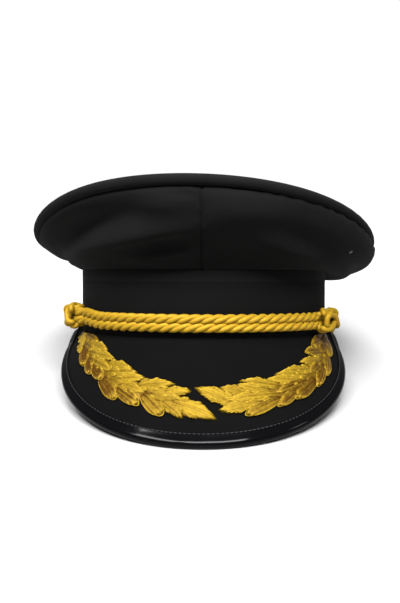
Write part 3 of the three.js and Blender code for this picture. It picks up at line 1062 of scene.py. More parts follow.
@dataclass
class Peak:
    """Sloping peak: a cloth-covered board with a patent leather binding round its edge.

    Attributes:
        end_angle: angle from the front at which it runs out.
        fullness, roundness_left, roundness_right: powers that shape its outline.
        wide_end, widens, narrows: how much wider it is before its ends, and over which shares of its half.
        end_climb, climbs: how far its ends climb up the band, and between which angles.
        crowding: how much its mesh columns crowd towards the ends.
        slope: slope at the front, in degrees, which lessens by slope_flattens a quarter of the way round.
        start: gap between the band and the board's lower face.
        tuck: how far the board's upper face runs in under the band's cloth, below zero.
        board_inset: further gap between the board's edge and the binding's inside.
        upper_share: share of the way round the board's section that its upper face takes.
        least_width: reach at which the peak's mesh ends.
        stitches_end: width of the board beside the binding at which the row ends.
        stitch_share: share of the pitch that a stitch takes.
        stitch_lift, stitch_rise: height of a stitch's ends over the gap, and how much its middle bulges.
    """

    reach: float = 70.0
    end_angle: float = math.radians(95)
    fullness: float = 2.15
    roundness_left: float = 0.67
    roundness_right: float = 0.7
    wide_end: float = 3.0
    widens: tuple[float, float] = (0.78, 0.9)
    narrows: tuple[float, float] = (0.94, 1.0)
    end_climb: float = 3.5
    climbs: tuple[float, float] = (math.radians(74), math.radians(86))
    crowding: float = 0.35
    slope: float = 60.0
    slope_flattens: float = 11.7
    start: float = 0.1
    tuck: float = -1.1
    board: float = 2.4
    board_inset: float = 0.4
    board_edge: float = 0.35
    nap: float = 0.12
    upper_share: float = 0.46
    binding_width: float = 9.0
    leather: float = 0.9
    least_width: float = 4.8
    gap: float = 0.3
    columns: int = 320
    board_rows: int = 64
    stitches_end: float = 6.0
    stitch_pitch: float = 2.8
    stitch_inset: float = 8.1
    stitch_share: float = 0.72
    stitch_radius: float = 0.34
    stitch_lift: float = 0.5
    stitch_rise: float = 0.28

    def reach_at(self, angle: float) -> float:
        """How far the peak reaches from the band.

        Args:
            angle: place round the band.

        Returns:
            The distance down the slope to the peak's edge.
        """
        share = min(abs(angle) / self.end_angle, 1.0)
        roundness = self.roundness_right if angle > 0 else self.roundness_left
        wide_end = self.wide_end * smoothstep(share, *self.widens) * (1 - smoothstep(share, *self.narrows))
        return self.reach * (1 - share**self.fullness) ** (1 / roundness) + wide_end

    def at(self, angle: float, down: float, lift: float = 0.0) -> Vector:
        """Point on the peak's upper face, or off it.

        Args:
            angle: place round the band.
            down: distance from the band down the slope.
            lift: distance off the upper face.

        Returns:
            The point.
        """
        slope = math.radians(self.slope - self.slope_flattens * (1 - math.cos(angle)))
        out = down * math.cos(slope) + lift * math.sin(slope)
        drop = down * math.sin(slope) - lift * math.cos(slope)
        climb = self.end_climb * smoothstep(abs(angle), *self.climbs)
        return CAP.oval(angle, out, climb - drop)

    def last_angle(self, least_reach: float) -> float:
        """Angle at which the peak becomes narrow.

        Args:
            least_reach: the reach that is narrow.

        Returns:
            The last angle at which the peak still reaches that far.
        """
        end = self.end_angle
        while self.reach_at(end) < least_reach:
            end -= math.radians(0.1)
        return end

    def angle_for(self, share: float) -> float:
        """Place round the band of the mesh's columns, which crowd towards the peak's ends.

        Args:
            share: 0 at the left end and 1 at the right end.

        Returns:
            The angle from the front.
        """
        end = self.last_angle(self.start + self.least_width)
        along = 2 * share - 1
        return end * (self.crowding * math.sin(along * math.pi / 2) + (1 - self.crowding) * along)

    def board_shape(self) -> Shape:
        """Sweep the board's section along the peak and round its edges.

        Returns:
            The closed board.
        """
        side_share = (1 - 2 * self.upper_share) / 2

        def place(along: float, turn: float) -> Vector:
            """Point on the board's skin for a share along the peak and round its section."""
            angle = self.angle_for(along)
            edge = self.reach_at(angle) - self.leather - self.gap - self.board_inset
            if turn < self.upper_share:
                down, lift = lerp(self.tuck, edge, turn / self.upper_share), 0.0
            elif turn < self.upper_share + side_share:
                down, lift = edge, -self.board * (turn - self.upper_share) / side_share
            elif turn < 2 * self.upper_share + side_share:
                down = lerp(edge, self.start, (turn - self.upper_share - side_share) / self.upper_share)
                lift = -self.board
            else:
                # The board's inner edge runs up into the band's lower edge and closes the joint there.
                inner = (1 - turn) / side_share
                down, lift = lerp(self.tuck, self.start, inner), -self.board * inner
            upper = turn < self.upper_share
            nap = self.nap * noise.noise(Vector((angle * 4.0, down * 0.06, 0.0))) if upper else 0.0
            return self.at(angle, down, lift + nap * hump(turn / self.upper_share * 2 - 1))

        shape = sheet(self.columns, self.board_rows, place, (250.0, 2 * self.reach))
        self.close_ends(shape)
        soften(shape, self.board_edge)
        return shape

    def close_ends(self, shape: Shape) -> None:
        """Close the two open ends of a swept section."""
        bmesh.ops.holes_fill(shape, edges=[edge for edge in shape.edges if edge.is_boundary], sides=0)

    def binding_profile(self) -> list[tuple[float, float]]:
        """Section of the binding: a lip, a flat flange that rises a little, and a round bead at the edge.

        Returns:
            Distance in from the peak's edge and lift from the board's middle, all the way round.
        """
        clear = self.board / 2 + self.gap
        lip = self.binding_width
        outer = [
            (lip, clear + 0.05), (lip - 0.15, clear + 0.4), (lip - 0.5, clear + 0.58),
            (lip - 1.6, clear + 0.66), (6.4, clear + 0.74), (5.4, clear + 0.84), (4.6, clear + 0.93),
            (3.7, 2.53), (2.7, 2.58), (1.6, 2.32), (0.75, 1.75), (0.2, 0.95), (0.0, 0.0),
        ]
        inner = [(lip, clear), (6.0, clear), (3.6, clear), (2.0, clear), (1.4, 0.9), (1.3, 0.0)]
        lower = [(inward, -lift) for inward, lift in reversed(outer[:-1])]
        lower_inner = [(inward, -lift) for inward, lift in inner[:-1]]
        return outer + lower + lower_inner + list(reversed(inner))

    def binding_shape(self) -> Shape:
        """Sweep the binding's section along the peak's edge.

        Returns:
            The closed channel.
        """
        profile = self.binding_profile()
        count = len(profile)

        def place(along: float, turn: float) -> Vector:
            """Point on the leather for a share along the edge and round its section."""
            angle = self.angle_for(along)
            inward, lift = profile[round(turn * count) % count]
            down = max(self.reach_at(angle) - inward, self.start)
            return self.at(angle, down, lift - self.board / 2)

        shape = sheet(self.columns * 2, count, place, (350.0, 40.0))
        self.close_ends(shape)
        return shape

    def add_stitch(self, shape: Shape, middle: float, span: float) -> None:
        """Sew one stitch through the binding's lip.

        Args:
            shape: the mesh that it goes into.
            middle: angle of its middle.
            span: half of its length, as an angle.
        """
        def place(turn: float, along: float) -> Vector:
            """Point on the stitch, which dives into the leather at both ends."""
            angle = middle + span * (2 * along - 1)
            full = rounded(2 * along - 1)
            thick = self.stitch_radius * full
            down = self.reach_at(angle) - self.stitch_inset + thick * math.cos(turn * math.tau)
            lift = self.gap + self.stitch_lift + self.stitch_rise * full + thick * math.sin(turn * math.tau)
            return self.at(angle, down, lift)

        add_sheet(shape, 6, 6, place)

    def stitches(self) -> Shape:
        """Sew the row of thread stitches just inside the binding's inner edge.

        Returns:
            All stitches as one mesh.
        """
        shape = bmesh.new()
        step = 0.004
        end = self.last_angle(self.binding_width + self.stitches_end)
        angle = -end
        while angle < end:
            here, ahead = (self.at(turn, self.reach_at(turn)) for turn in (angle, angle + step))
            speed = (ahead - here).length / step
            self.add_stitch(shape, angle, self.stitch_share / 2 * self.stitch_pitch / speed)
            angle += self.stitch_pitch / speed
        return shape

    def build(self, cloth: Material, leather: Material, thread: Material) -> None:
        """Make the board, the binding and its stitches.

        Args:
            cloth: finish of the board.
            leather: finish of the binding.
            thread: finish of the stitches.
        """
        finish_piece("peak_board", self.board_shape(), cloth, Slot.PEAK, ["peak_board"])
        binding = finish_piece("peak_binding", self.binding_shape(), leather, Slot.PATENT, ["peak_binding"])
        smooth = binding.modifiers.new("rounded", "SUBSURF")
        smooth.levels = smooth.render_levels = 1
        finish_piece("binding_stitches", self.stitches(), thread, Slot.PATENT)


# Oak sprays

@dataclass(frozen=True)
class Leaf:
    """Ground of one oak leaf, in millimetres round the band from the front and down the peak from the band.

    Attributes:
        base, tip: ends of its axis.
        upper: half width on the band's side of the axis.
        lower: half width on the other side.
    """

    base: tuple[float, float]
    tip: tuple[float, float]
    upper: float
    lower: float


@dataclass(frozen=True)
class Lobe:
    """Satin-stitched lobe of an oak leaf, placed as the leaves are.

    Attributes:
        root, tip: ends of its axis.
        half_width: half of its greatest width.
        tone: brightness of its threads, from 0 to 1: painted light and shade, darker on the lower lobes.
        rim: brightness of its edging.
        bow: how far its middle bows towards the band.
        point: 0 for a round end and 1 for a sharp one.
    """

    root: tuple[float, float]
    tip: tuple[float, float]
    half_width: float
    tone: float
    rim: float
    bow: float = 0.0
    point: float = 0.6


LEFT_LEAVES = (
    Leaf((-42, 35.5), (4, 50.0), 6.5, 4.4),
    Leaf((-76, 22.5), (-32, 40), 6.5, 6.5),
    Leaf((-104, 9.5), (-62, 25.5), 5.5, 6.5),
    Leaf((-126, 2.5), (-88, 14), 4.0, 5.0),
)

RIGHT_LEAVES = (
    Leaf((47, 40), (3, 36.0), 5.0, 5.5),
    Leaf((81, 29), (38, 37.5), 6.5, 5.5),
    Leaf((106, 14), (69, 28.5), 6.0, 6.5),
    Leaf((127, 3), (92, 16.5), 4.5, 5.5),
)

# The fourth number of each lobe is its tone: painted light and shade, darker on the lower lobes.
LEFT_LOBES = (
    # Leaf at the front
    Lobe((-18, 41.5), (9.1, 52.6), 4.9, 0.8, 0.85, 1.2, 0.8),
    Lobe((-27, 37), (-5.3, 34.8), 3.2, 0.85, 0.9, 0.4, 0.2),
    Lobe((-42, 33.5), (-15.0, 30.4), 3.8, 0.85, 0.95, 0.6, 0.8),
    Lobe((-35, 35.5), (-9, 41), 3.4, 0.7, 0.8, 0.6, 0.6),
    Lobe((-25, 39.5), (-9.2, 52.0), 3.1, 0.6, 0.9, 0.5, 0.4),
    Lobe((-36, 37), (-20.4, 50.6), 4.8, 0.45, 0.85, 0.5, 0.0),
    # Second leaf
    Lobe((-70, 20.5), (-45.8, 22.0), 3.2, 0.95, 1.0, 0.6, 0.8),
    Lobe((-65, 25.5), (-41.5, 24.4), 3.0, 0.9, 1.0, 0.4, 0.5),
    Lobe((-58, 29.8), (-35.3, 27.4), 3.3, 0.85, 0.95, 0.4, 0.4),
    Lobe((-62, 30), (-32, 37.5), 3.8, 0.75, 0.85, 0.5, 0.6),
    Lobe((-70, 29.5), (-50.7, 42.8), 4.3, 0.08, 0.8, 0.7, 0.0),
    Lobe((-58, 33.5), (-35.2, 45.2), 4.2, 0.3, 0.9, 0.9, 0.1),
    # Third leaf
    Lobe((-99, 8.3), (-73.8, 10.8), 3.2, 0.95, 1.0, 0.5, 0.7),
    Lobe((-91, 13.8), (-62.9, 16.8), 3.2, 0.95, 1.0, 0.6, 0.7),
    Lobe((-90, 17.2), (-61, 24.6), 3.6, 0.75, 0.95, 0.5, 0.6),
    Lobe((-92, 17.5), (-78.3, 28.4), 4.0, 0.08, 0.75, 0.3, 0.0),
    Lobe((-85, 20), (-66.3, 31.0), 4.1, 0.12, 0.8, 0.5, 0.0),
    # Fourth leaf
    Lobe((-122, 0.8), (-88.6, 5.6), 3.4, 0.2, 0.7, 0.4, 0.7),
    Lobe((-112, 7), (-86.5, 12.5), 3.0, 0.4, 0.8, 0.4, 0.6),
    Lobe((-110, 8), (-88.6, 23.8), 4.7, 0.02, 0.7, 0.6, 0.1),
    Lobe((-117, 8), (-103.2, 16), 2.9, 0.8, 0.95, 0.3, 0.2),
    # End at the band
    Lobe((-135, -1), (-106.2, 9.3), 4.2, 0.95, 1.0, 0.5, 0.5),
    Lobe((-133, -2), (-112, 1.2), 2.0, 0.7, 0.9, 0.2, 0.5),
)

# The fourth number of each lobe is its tone: painted light and shade, as on the left spray.
RIGHT_LOBES = (
    # Leaf at the front
    Lobe((21, 43), (-4.3, 32.3), 4.4, 0.85, 0.9, 0.3, 0.8),
    Lobe((30, 37.5), (10.8, 32.8), 3.1, 0.8, 0.95, 0.5, 0.2),
    Lobe((39, 36.3), (20.8, 31.4), 2.9, 0.85, 0.95, 0.4, 0.4),
    Lobe((51, 33.5), (23.4, 28.6), 3.1, 0.8, 0.95, 0.6, 0.8),
    Lobe((47, 37.5), (13, 41), 3.8, 0.85, 0.9, 0.4, 0.5),
    Lobe((34, 42), (10.0, 47.0), 3.8, 0.75, 0.95, 0.2, 0.3),
    Lobe((49, 40), (24.0, 50.4), 3.9, 0.45, 0.85, 0.6, 0.2),
    # Second leaf
    Lobe((69, 31.5), (41.5, 28.2), 3.3, 1.0, 1.0, 0.4, 0.5),
    Lobe((75, 28), (48.2, 25.3), 3.1, 1.0, 1.0, 0.5, 0.6),
    Lobe((81, 24.4), (53.0, 23.9), 2.9, 0.95, 1.0, 0.6, 0.8),
    Lobe((80, 30), (43, 37.5), 3.4, 0.3, 0.7, 0.4, 0.6),
    Lobe((64, 36), (43.9, 46.2), 3.0, 0.25, 0.85, 0.5, 0.3),
    Lobe((81, 30.5), (56.9, 42.2), 4.1, 0.3, 0.75, 0.5, 0.2),
    # Third leaf
    Lobe((97, 20), (72.2, 18.4), 3.1, 0.75, 0.95, 0.4, 0.5),
    Lobe((105, 13.3), (81.7, 12.3), 3.5, 0.35, 0.9, 0.6, 0.4),
    Lobe((103, 17.5), (75, 26.5), 3.4, 0.3, 0.7, 0.3, 0.5),
    Lobe((99, 20.5), (76.9, 36.5), 3.5, 0.08, 0.7, 0.6, 0.4),
    Lobe((111, 13.5), (91.4, 30.4), 3.9, 0.25, 0.8, 0.6, 0.4),
    # Fourth leaf
    Lobe((119, 4.8), (93.8, 7.6), 3.4, 0.25, 0.7, 0.4, 0.4),
    Lobe((131, 0), (104.3, 1.4), 2.8, 0.3, 0.7, 0.4, 0.5),
    Lobe((124, 6), (99, 13.5), 3.2, 0.05, 0.5, 0.3, 0.5),
    Lobe((133, 5), (107.5, 18.0), 3.7, 0.3, 0.7, 0.4, 0.2),
    Lobe((140, 0), (117, 7), 3.6, 0.25, 0.5, 0.3, 0.4),
)


def leaf_axes(root: Vector, tip: Vector) -> tuple[Vector, Vector]:
    """Directions along and across a leaf or a lobe.

    Args:
        root: where its axis starts.
        tip: where its axis ends.

    Returns:
        The whole axis, and the direction square to it on the band's side, one millimetre long.
    """
    axis = tip - root
    square = Vector((axis.y, -axis.x)).normalized()
    return axis, -square if square.y > 0 else square


@dataclass
class OakSpray:
    """Spray of oak leaves in satin stitch over padding, edged with gold purl and laid on the peak.

    Attributes:
        radius: distance round the band that one radian stands for.
        settle: how much further down the peak the spray lies than its tables say.
        side_flattening: share of the height that is lost at the peak's sides.
        drawn_back, widest_turn: how far the spray is drawn back to the front, and up to which angle.
        thread_pitch: spacing of the threads, drawn coarser than real ones so that they show.
        edged_below: tone below which a lobe is edged with purl and has teeth on the band's side alone.
        tooth_reach, tooth_root: places across the lobe of a tooth's tip and root.
        tooth_back, tooth_ahead: how far its root and tip are from its place along the lobe.
        widest: share of a lobe's length at which it is widest.
        straight: share of that length in which its sides open out.
        round_tip, sharp_tip: powers that shape the outline of a round and of a sharp tip.
        tuck_from, tuck_free, tuck_least: what lies between the first two distances down the peak is
            drawn in below the third one, clear of the band.
    """

    peak: Peak
    side: Side
    leaves: Sequence[Leaf]
    lobes: Sequence[Lobe]
    radius: float = 105.0
    lift: float = 0.2
    settle: float = 0.4
    side_flattening: float = 0.35
    drawn_back: float = 1.2
    widest_turn: float = 1.32
    ground_height: float = 0.8
    ground_painted_shade: float = 0.25
    padding_height: float = 0.9
    padding_width: float = 0.96
    padding_tone: float = 0.7
    thread_pitch: float = 0.62
    thread_radius: float = 0.36
    thread_map: tuple[float, float] = (1.2, 12.0)
    uneven_ends: tuple[float, float] = (-0.07, 0.03)
    uneven_radius: tuple[float, float] = (0.85, 1.15)
    uneven_tone: tuple[float, float] = (-0.24, 0.24)
    border_across: tuple[float, float] = (0.75, 0.95)
    border_along: tuple[float, float] = (0.82, 0.96)
    root_shadow: float = 0.4
    root_shadow_end: float = 0.35
    vein_shadow: float = 0.3
    vein_width: float = 0.14
    vein_end: tuple[float, float] = (0.6, 0.9)
    purl_radius: float = 0.32
    purl_coil: float = 0.25
    purl_height: float = 0.45
    purl_lift: float = 0.2
    purl_width: float = 0.97
    purl_tone: float = 0.08
    purl_map: tuple[float, float] = (2.6, 30.0)
    purl_start: float = 0.12
    purl_sides: float = 0.4
    edged_below: float = 0.5
    tooth_shares: tuple[float, ...] = (0.36, 0.62)
    tooth_reach: float = 1.03
    tooth_root: float = 0.3
    tooth_back: float = 0.24
    tooth_ahead: float = 0.02
    tooth_width: float = 0.4
    tooth_point: float = 0.35
    widest: float = 0.6
    straight: float = 0.5
    root_fan: float = 0.72
    root_rise: float = 0.75
    tip_rise: float = 1.7
    dome_power: float = 2.6
    round_tip: tuple[float, float] = (2.1, 0.72)
    sharp_tip: tuple[float, float] = (1.15, 1.0)
    tuck_from: float = -9.0
    tuck_free: float = 5.0
    tuck_least: float = 1.0
    steps: int = 14
    tooth_steps: int = 8
    purl_steps: int = 64
    sides: int = 6

    def laid(self, around: float, down: float, height: float) -> Vector:
        """Point on the peak for a place in the spray, drawn in where it would run up under the band.

        Args:
            around: distance round the band from the front.
            down: distance down the peak from the band.
            height: height over the peak's cloth.

        Returns:
            The point.
        """
        down += self.settle
        if down < self.tuck_free:
            power = (self.tuck_free - self.tuck_from) / (self.tuck_free - self.tuck_least)
            share = max((down - self.tuck_from) / (self.tuck_free - self.tuck_from), 0.0)
            down = self.tuck_least + (self.tuck_free - self.tuck_least) * share**power
        # Raised threads hide more of the peak further round, so they lie nearer the front there.
        angle = around / self.radius
        turn = max(min(angle, self.widest_turn), -self.widest_turn)
        angle -= self.drawn_back * math.tan(turn) / self.radius
        height *= 1 - self.side_flattening * math.sin(angle) ** 2
        return self.peak.at(angle, down, self.lift + height)

    def spot(self, root: Vector, tip: Vector, along: float, aside: float, height: float) -> Vector:
        """Point over an axis, by share along it and millimetres towards the band and off the peak."""
        axis, square = leaf_axes(root, tip)
        return self.laid(*(root + axis * along + square * aside), height)

    def over_lobe(self, lobe: Lobe, along: float, across: float, height: float) -> Vector:
        """Point over a lobe.

        Args:
            lobe: the lobe.
            along: share of the way along it.
            across: share of its half width, towards the band.
            height: height over the peak's cloth.

        Returns:
            The point.
        """
        fan = lerp(self.root_fan, 1.0, smoothstep(along, 0.0, self.widest))
        aside = across * lobe.half_width * fan + lobe.bow * arch(along)
        return self.spot(Vector(lobe.root), Vector(lobe.tip), along, aside, height)

    def thread_ends(self, lobe: Lobe, across: float) -> tuple[float, float]:
        """Where a lobe's outline starts and ends at a place across it.

        Args:
            lobe: the lobe.
            across: share of its half width.

        Returns:
            Both places as shares of the lobe's length.
        """
        side = min(abs(across), 1.0)
        curve, end = (lerp(blunt, sharp, lobe.point) for blunt, sharp in zip(self.round_tip, self.sharp_tip))
        tip = self.widest + (1 - self.widest) * (1 - side**curve) ** end
        return self.straight * self.widest * side**3, tip

    def rise(self, along: float, across: float) -> float:
        """Height of the threads at a place on a lobe."""
        ramp = lerp(self.root_rise, self.tip_rise, smoothstep(along, 0.0, 0.8))
        return ramp * rounded(across, self.dome_power)

    def add_ground(self, shape: Shape, leaf: Leaf) -> None:
        """Add the low padded ground of a leaf, which closes the gaps between its lobes with painted shade.

        Args:
            shape: the mesh that it goes into.
            leaf: the leaf.
        """
        def place(turn: float, along: float) -> Vector:
            """Point on the ground, closed at both ends."""
            across, up = math.cos(turn * math.tau), math.sin(turn * math.tau)
            full = rounded(2 * along - 1, 3)
            aside = across * (leaf.upper if across > 0 else leaf.lower) * full
            height = self.ground_height * max(up, 0.0) * full
            return self.spot(Vector(leaf.base), Vector(leaf.tip), along, aside, height)

        add_sheet(shape, 20, 24, place, lambda turn, along: self.ground_painted_shade)

    def add_padding(self, shape: Shape, lobe: Lobe) -> None:
        """Add the felt padding under the threads of a lobe.

        Args:
            shape: the mesh that it goes into.
            lobe: the lobe.
        """
        def place(turn: float, along: float) -> Vector:
            """Point on the padding, closed at both ends."""
            across = math.cos(turn * math.tau)
            share = lerp(*self.thread_ends(lobe, across), along)
            raised = self.padding_height if math.sin(turn * math.tau) > 0 else 0.0
            height = self.rise(share, across) * rounded(2 * along - 1, 4) * raised
            return self.over_lobe(lobe, share, across * self.padding_width, height)

        add_sheet(shape, 16, 10, place, lambda turn, along: lobe.tone * self.padding_tone)

    def add_thread(self, shape: Shape, lobe: Lobe, across: float, chance: random.Random, steps: int) -> None:
        """Lay one satin thread over a lobe, from its root to its edge.

        Args:
            shape: the mesh that it goes into.
            lobe: the lobe.
            across: place across the lobe, as a share of its half width.
            chance: source of the small differences between threads.
            steps: faces along the thread.
        """
        low, high = self.thread_ends(lobe, across)
        high += chance.uniform(*self.uneven_ends)
        radius = self.thread_radius * chance.uniform(*self.uneven_radius)
        change = chance.uniform(*self.uneven_tone)

        def place(turn: float, along: float) -> Vector:
            """Point on the thread, which dives into the cloth at both ends."""
            around = turn * math.tau
            share = lerp(low, high, along)
            ends = rounded(2 * along - 1, 5)
            thick = radius * min(1.0, 3 * ends)
            height = self.rise(share, across) * ends + thick * math.sin(around)
            return self.over_lobe(lobe, share, across + thick * math.cos(around) / lobe.half_width, height)

        def shade(turn: float, along: float) -> float:
            """Brightness of the thread: the lobe's painted light and shade, painted shadow at its root and
            vein, and brighter along the lobe's border.
            """
            border = max(smoothstep(abs(across), *self.border_across), smoothstep(along, *self.border_along))
            root = self.root_shadow * (1 - smoothstep(along, 0.0, self.root_shadow_end))
            vein = self.vein_shadow * bell(across, self.vein_width) * (1 - smoothstep(along, *self.vein_end))
            return lerp(lobe.tone, lobe.rim, border) + change - root - vein

        add_sheet(shape, self.sides, steps, place, shade, self.thread_map)

    def add_threads(self, shape: Shape, lobe: Lobe, chance: random.Random, steps: int) -> None:
        """Lay satin threads side by side over a lobe.

        Args:
            shape: the mesh that they go into.
            lobe: the lobe.
            chance: source of the small differences between threads.
            steps: faces along a thread.
        """
        count = max(round(2 * lobe.half_width / self.thread_pitch), 4)
        for index in range(count):
            self.add_thread(shape, lobe, -1 + (index + 0.5) * 2 / count, chance, steps)

    def edge_at(self, lobe: Lobe, share: float) -> tuple[float, float]:
        """Place on a lobe's edge.

        Args:
            lobe: the lobe.
            share: share of the way from one side of its root, round its tip, to the other side.

        Returns:
            Shares along and across the lobe.
        """
        side = 1.0 if share > 0.5 else -1.0
        gone = 1 - abs(2 * share - 1)
        if gone < self.purl_sides:
            along = lerp(self.purl_start, 1.0, gone / self.purl_sides) * self.widest
            return along, side * min((along / (self.straight * self.widest)) ** (1 / 3), 1.0)
        across = math.cos((gone - self.purl_sides) / (1 - self.purl_sides) * math.pi / 2)
        return self.thread_ends(lobe, across)[1], side * across

    def add_purl(self, shape: Shape, lobe: Lobe) -> None:
        """Lay coiled gold purl along a lobe's edge.

        Args:
            shape: the mesh that it goes into.
            lobe: the lobe.
        """
        length = (Vector(lobe.tip) - Vector(lobe.root)).length

        def place(turn: float, share: float) -> Vector:
            """Point on the purl's skin, swept across the lobe at its sides and along it at its tip."""
            along, across = self.edge_at(lobe, share)
            ends = min(1.0, 12 * (1 - abs(2 * share - 1)))
            coil = 1 + self.purl_coil * math.cos(math.pi * round(share * self.purl_steps))
            radius = self.purl_radius * ends * coil
            inward = radius * math.cos(turn * math.tau)
            height = self.rise(along, 0.9 * across) * self.purl_height + self.purl_lift
            height += radius * math.sin(turn * math.tau)
            at_side = abs(across) > 0.7
            across *= self.purl_width
            if at_side:
                return self.over_lobe(lobe, along, across + inward / lobe.half_width, height)
            return self.over_lobe(lobe, along - 0.01 + inward / length, across, height)

        shade = lobe.rim + self.purl_tone
        add_sheet(shape, 8, self.purl_steps, place, lambda turn, share: shade, self.purl_map)

    def teeth(self, lobe: Lobe) -> list[Lobe]:
        """Small pointed teeth along a lobe's edges.

        Args:
            lobe: the lobe.

        Returns:
            Teeth along both edges of a bright lobe, or along the band's side of a dark one.
        """
        root = Vector(lobe.root)
        axis, square = leaf_axes(root, Vector(lobe.tip))
        made = []
        for side in (1.0, -1.0) if lobe.tone >= self.edged_below else (1.0,):
            for share in self.tooth_shares:
                edge = square * (side * self.tooth_reach * lobe.half_width + lobe.bow * arch(share))
                start = tuple(root + axis * (share - self.tooth_back) + edge * self.tooth_root)
                end = tuple(root + axis * (share + self.tooth_ahead) + edge)
                width = self.tooth_width * lobe.half_width
                made.append(Lobe(start, end, width, lobe.tone, lobe.rim, point=self.tooth_point))
        return made

    def build(self, thread: Material) -> None:
        """Make the whole spray as one mesh.

        Args:
            thread: finish of the embroidery.
        """
        name = f"oak_spray_{self.side.name.lower()}"
        shape = bmesh.new()
        chance = random.Random(SEED + self.side.value)
        for leaf in self.leaves:
            self.add_ground(shape, leaf)
        for lobe in self.lobes:
            part = bmesh.new()
            self.add_padding(part, lobe)
            self.add_threads(part, lobe, chance, self.steps)
            if lobe.tone < self.edged_below:
                self.add_purl(part, lobe)
            for tooth in self.teeth(lobe):
                self.add_threads(part, tooth, chance, self.tooth_steps)
            pour_into(shape, part)
        finish_piece(name, shape, thread, Slot.EMBROIDERY, [name])


# Cap cord, its knots and its posts

@dataclass
class CordFitting:
    """Sizes shared by the cap cord, its knots and its posts, and where they sit on the band.

    Attributes:
        height: height of the cord's centre over the band's lower edge.
        left_rise: how much it climbs towards the left knot.
        climb_from, climb_to: where it climbs, in degrees before the knot.
        knot_angle: place of both knots in the model.
        knot_length, knot_outer, knot_relief: length, outer radius and relief of the model's knots.
        settles: distances beyond a knot's ends over which the cord comes back to the band.
        press: how far the two runs are pressed into each other, for each of them.
        post_beyond_knot: distance round the band from a knot to its post.
    """

    diameter: float = 5.3
    height: float = 8.7
    left_rise: float = 2.2
    climb_from: float = 22.0
    climb_to: float = 5.0
    knot_angle: float = math.radians(67.4)
    knot_length: float = 11.0
    knot_outer: float = 6.1
    knot_relief: float = 0.35
    settles: tuple[float, float] = (1.0, 8.0)
    press: float = 0.1
    cord_clear: float = 0.2
    turn_clear: float = 0.05
    post_beyond_knot: float = 17.0
    post_stem: float = 1.7
    post_head: float = 4.0
    post_height: float = 8.6
    gap: float = 0.3

    def __post_init__(self) -> None:
        """Work out the sizes that follow from the cord's diameter."""
        self.run_height = self.diameter / 2 - self.press
        self.cord_out = self.diameter / 2 + self.gap + self.cord_clear
        self.knot_out = self.knot_outer + self.knot_relief + self.gap
        self.turn_radius = self.post_stem + self.gap + self.turn_clear + self.diameter / 2
        self.post_angle = self.knot_angle + self.angle_for(self.post_beyond_knot)

    def angle_for(self, length: float) -> float:
        """Angle for a length along the band near the knots."""
        return length / CAP.round_length(self.knot_angle)

    def height_at(self, angle: float) -> float:
        """Height of the cord's centre over the band's lower edge, which rises towards the left knot."""
        start, end = (self.knot_angle - math.radians(before) for before in (self.climb_from, self.climb_to))
        return self.height + self.left_rise * smoothstep(-angle, start, end)

    def standoff(self, angle: float) -> float:
        """How far the cord's centre stands off the band, more where it goes through a knot.

        Args:
            angle: place round the band.

        Returns:
            The distance.
        """
        away = (abs(angle) - self.knot_angle) / self.angle_for(1.0)
        lift = 1 - smoothstep(abs(away) - self.knot_length / 2, *self.settles)
        return lerp(self.cord_out, self.knot_out, lift)

    def on_band(self, angle: float, outward: float) -> Matrix:
        """Frame of a fitting on the band: X outwards, Y up and Z along the band.

        Args:
            angle: place round the band.
            outward: distance of its origin from the band.

        Returns:
            The matrix from that frame to the cap's own.
        """
        out = CAP.normal(angle)
        up = Vector((0, 0, 1))
        turned = Matrix((out, up, out.cross(up))).transposed().to_4x4()
        return Matrix.Translation(CAP.oval(angle, outward, self.height_at(angle))) @ turned


def between(first: Station, second: Station, share: float) -> Station:
    """Station a share of the way from one to another."""
    return first[0].lerp(second[0], share), first[1].lerp(second[1], share).normalized()


def crossed(centre: Vector, along: Vector, out: Vector) -> tuple[Vector, Vector, Vector]:
    """Centre of a path with two directions square to it, the first one turned outwards."""
    across = along.cross(out).normalized()
    return centre, across.cross(along).normalized(), across


@dataclass
class Strand:
    """Round strand of twisted yarns that follows a closed path.

    Attributes:
        yarns: number of yarns, which show as ridges along it.
        relief: depth of the valleys between yarns, as a share of the radius.
        valley_tone, ridge_tone: painted shade in the valleys, and how much brighter painted light makes
            ridges.
        yarn_turns: turns of the yarns along the whole path.
    """

    radius: float
    yarns: int = 8
    relief: float = 0.09
    valley_tone: float = 0.55
    ridge_tone: float = 0.35
    yarn_turns: int = 0
    points_per_yarn: int = 2

    def add(self, shape: Shape, steps: int, length: float, path: Path) -> None:
        """Sweep the strand along a path.

        Args:
            shape: the mesh that it goes into.
            steps: sections along the path.
            length: length of the path.
            path: gives the centre and two directions across it for a share of the way.
        """
        def ridge(turn: float) -> float:
            """How far out of its valley a place round the section is, from 0 to 1."""
            return 0.5 + 0.5 * math.cos(turn * math.tau * self.yarns)

        def place(turn: float, along: float) -> Vector:
            """Point on the strand's skin."""
            centre, out, across = path(along)
            around = (turn + self.yarn_turns * along) * math.tau
            reach = self.radius * (1 - self.relief * (1 - ridge(turn)))
            return centre + out * reach * math.cos(around) + across * reach * math.sin(around)

        def shade(turn: float, along: float) -> float:
            """Brightness: painted shade in the valleys between yarns, painted light on the ridges."""
            return self.valley_tone + self.ridge_tone * ridge(turn)

        columns = self.yarns * self.points_per_yarn
        add_sheet(shape, columns, steps, place, shade, (math.tau * self.radius, length))


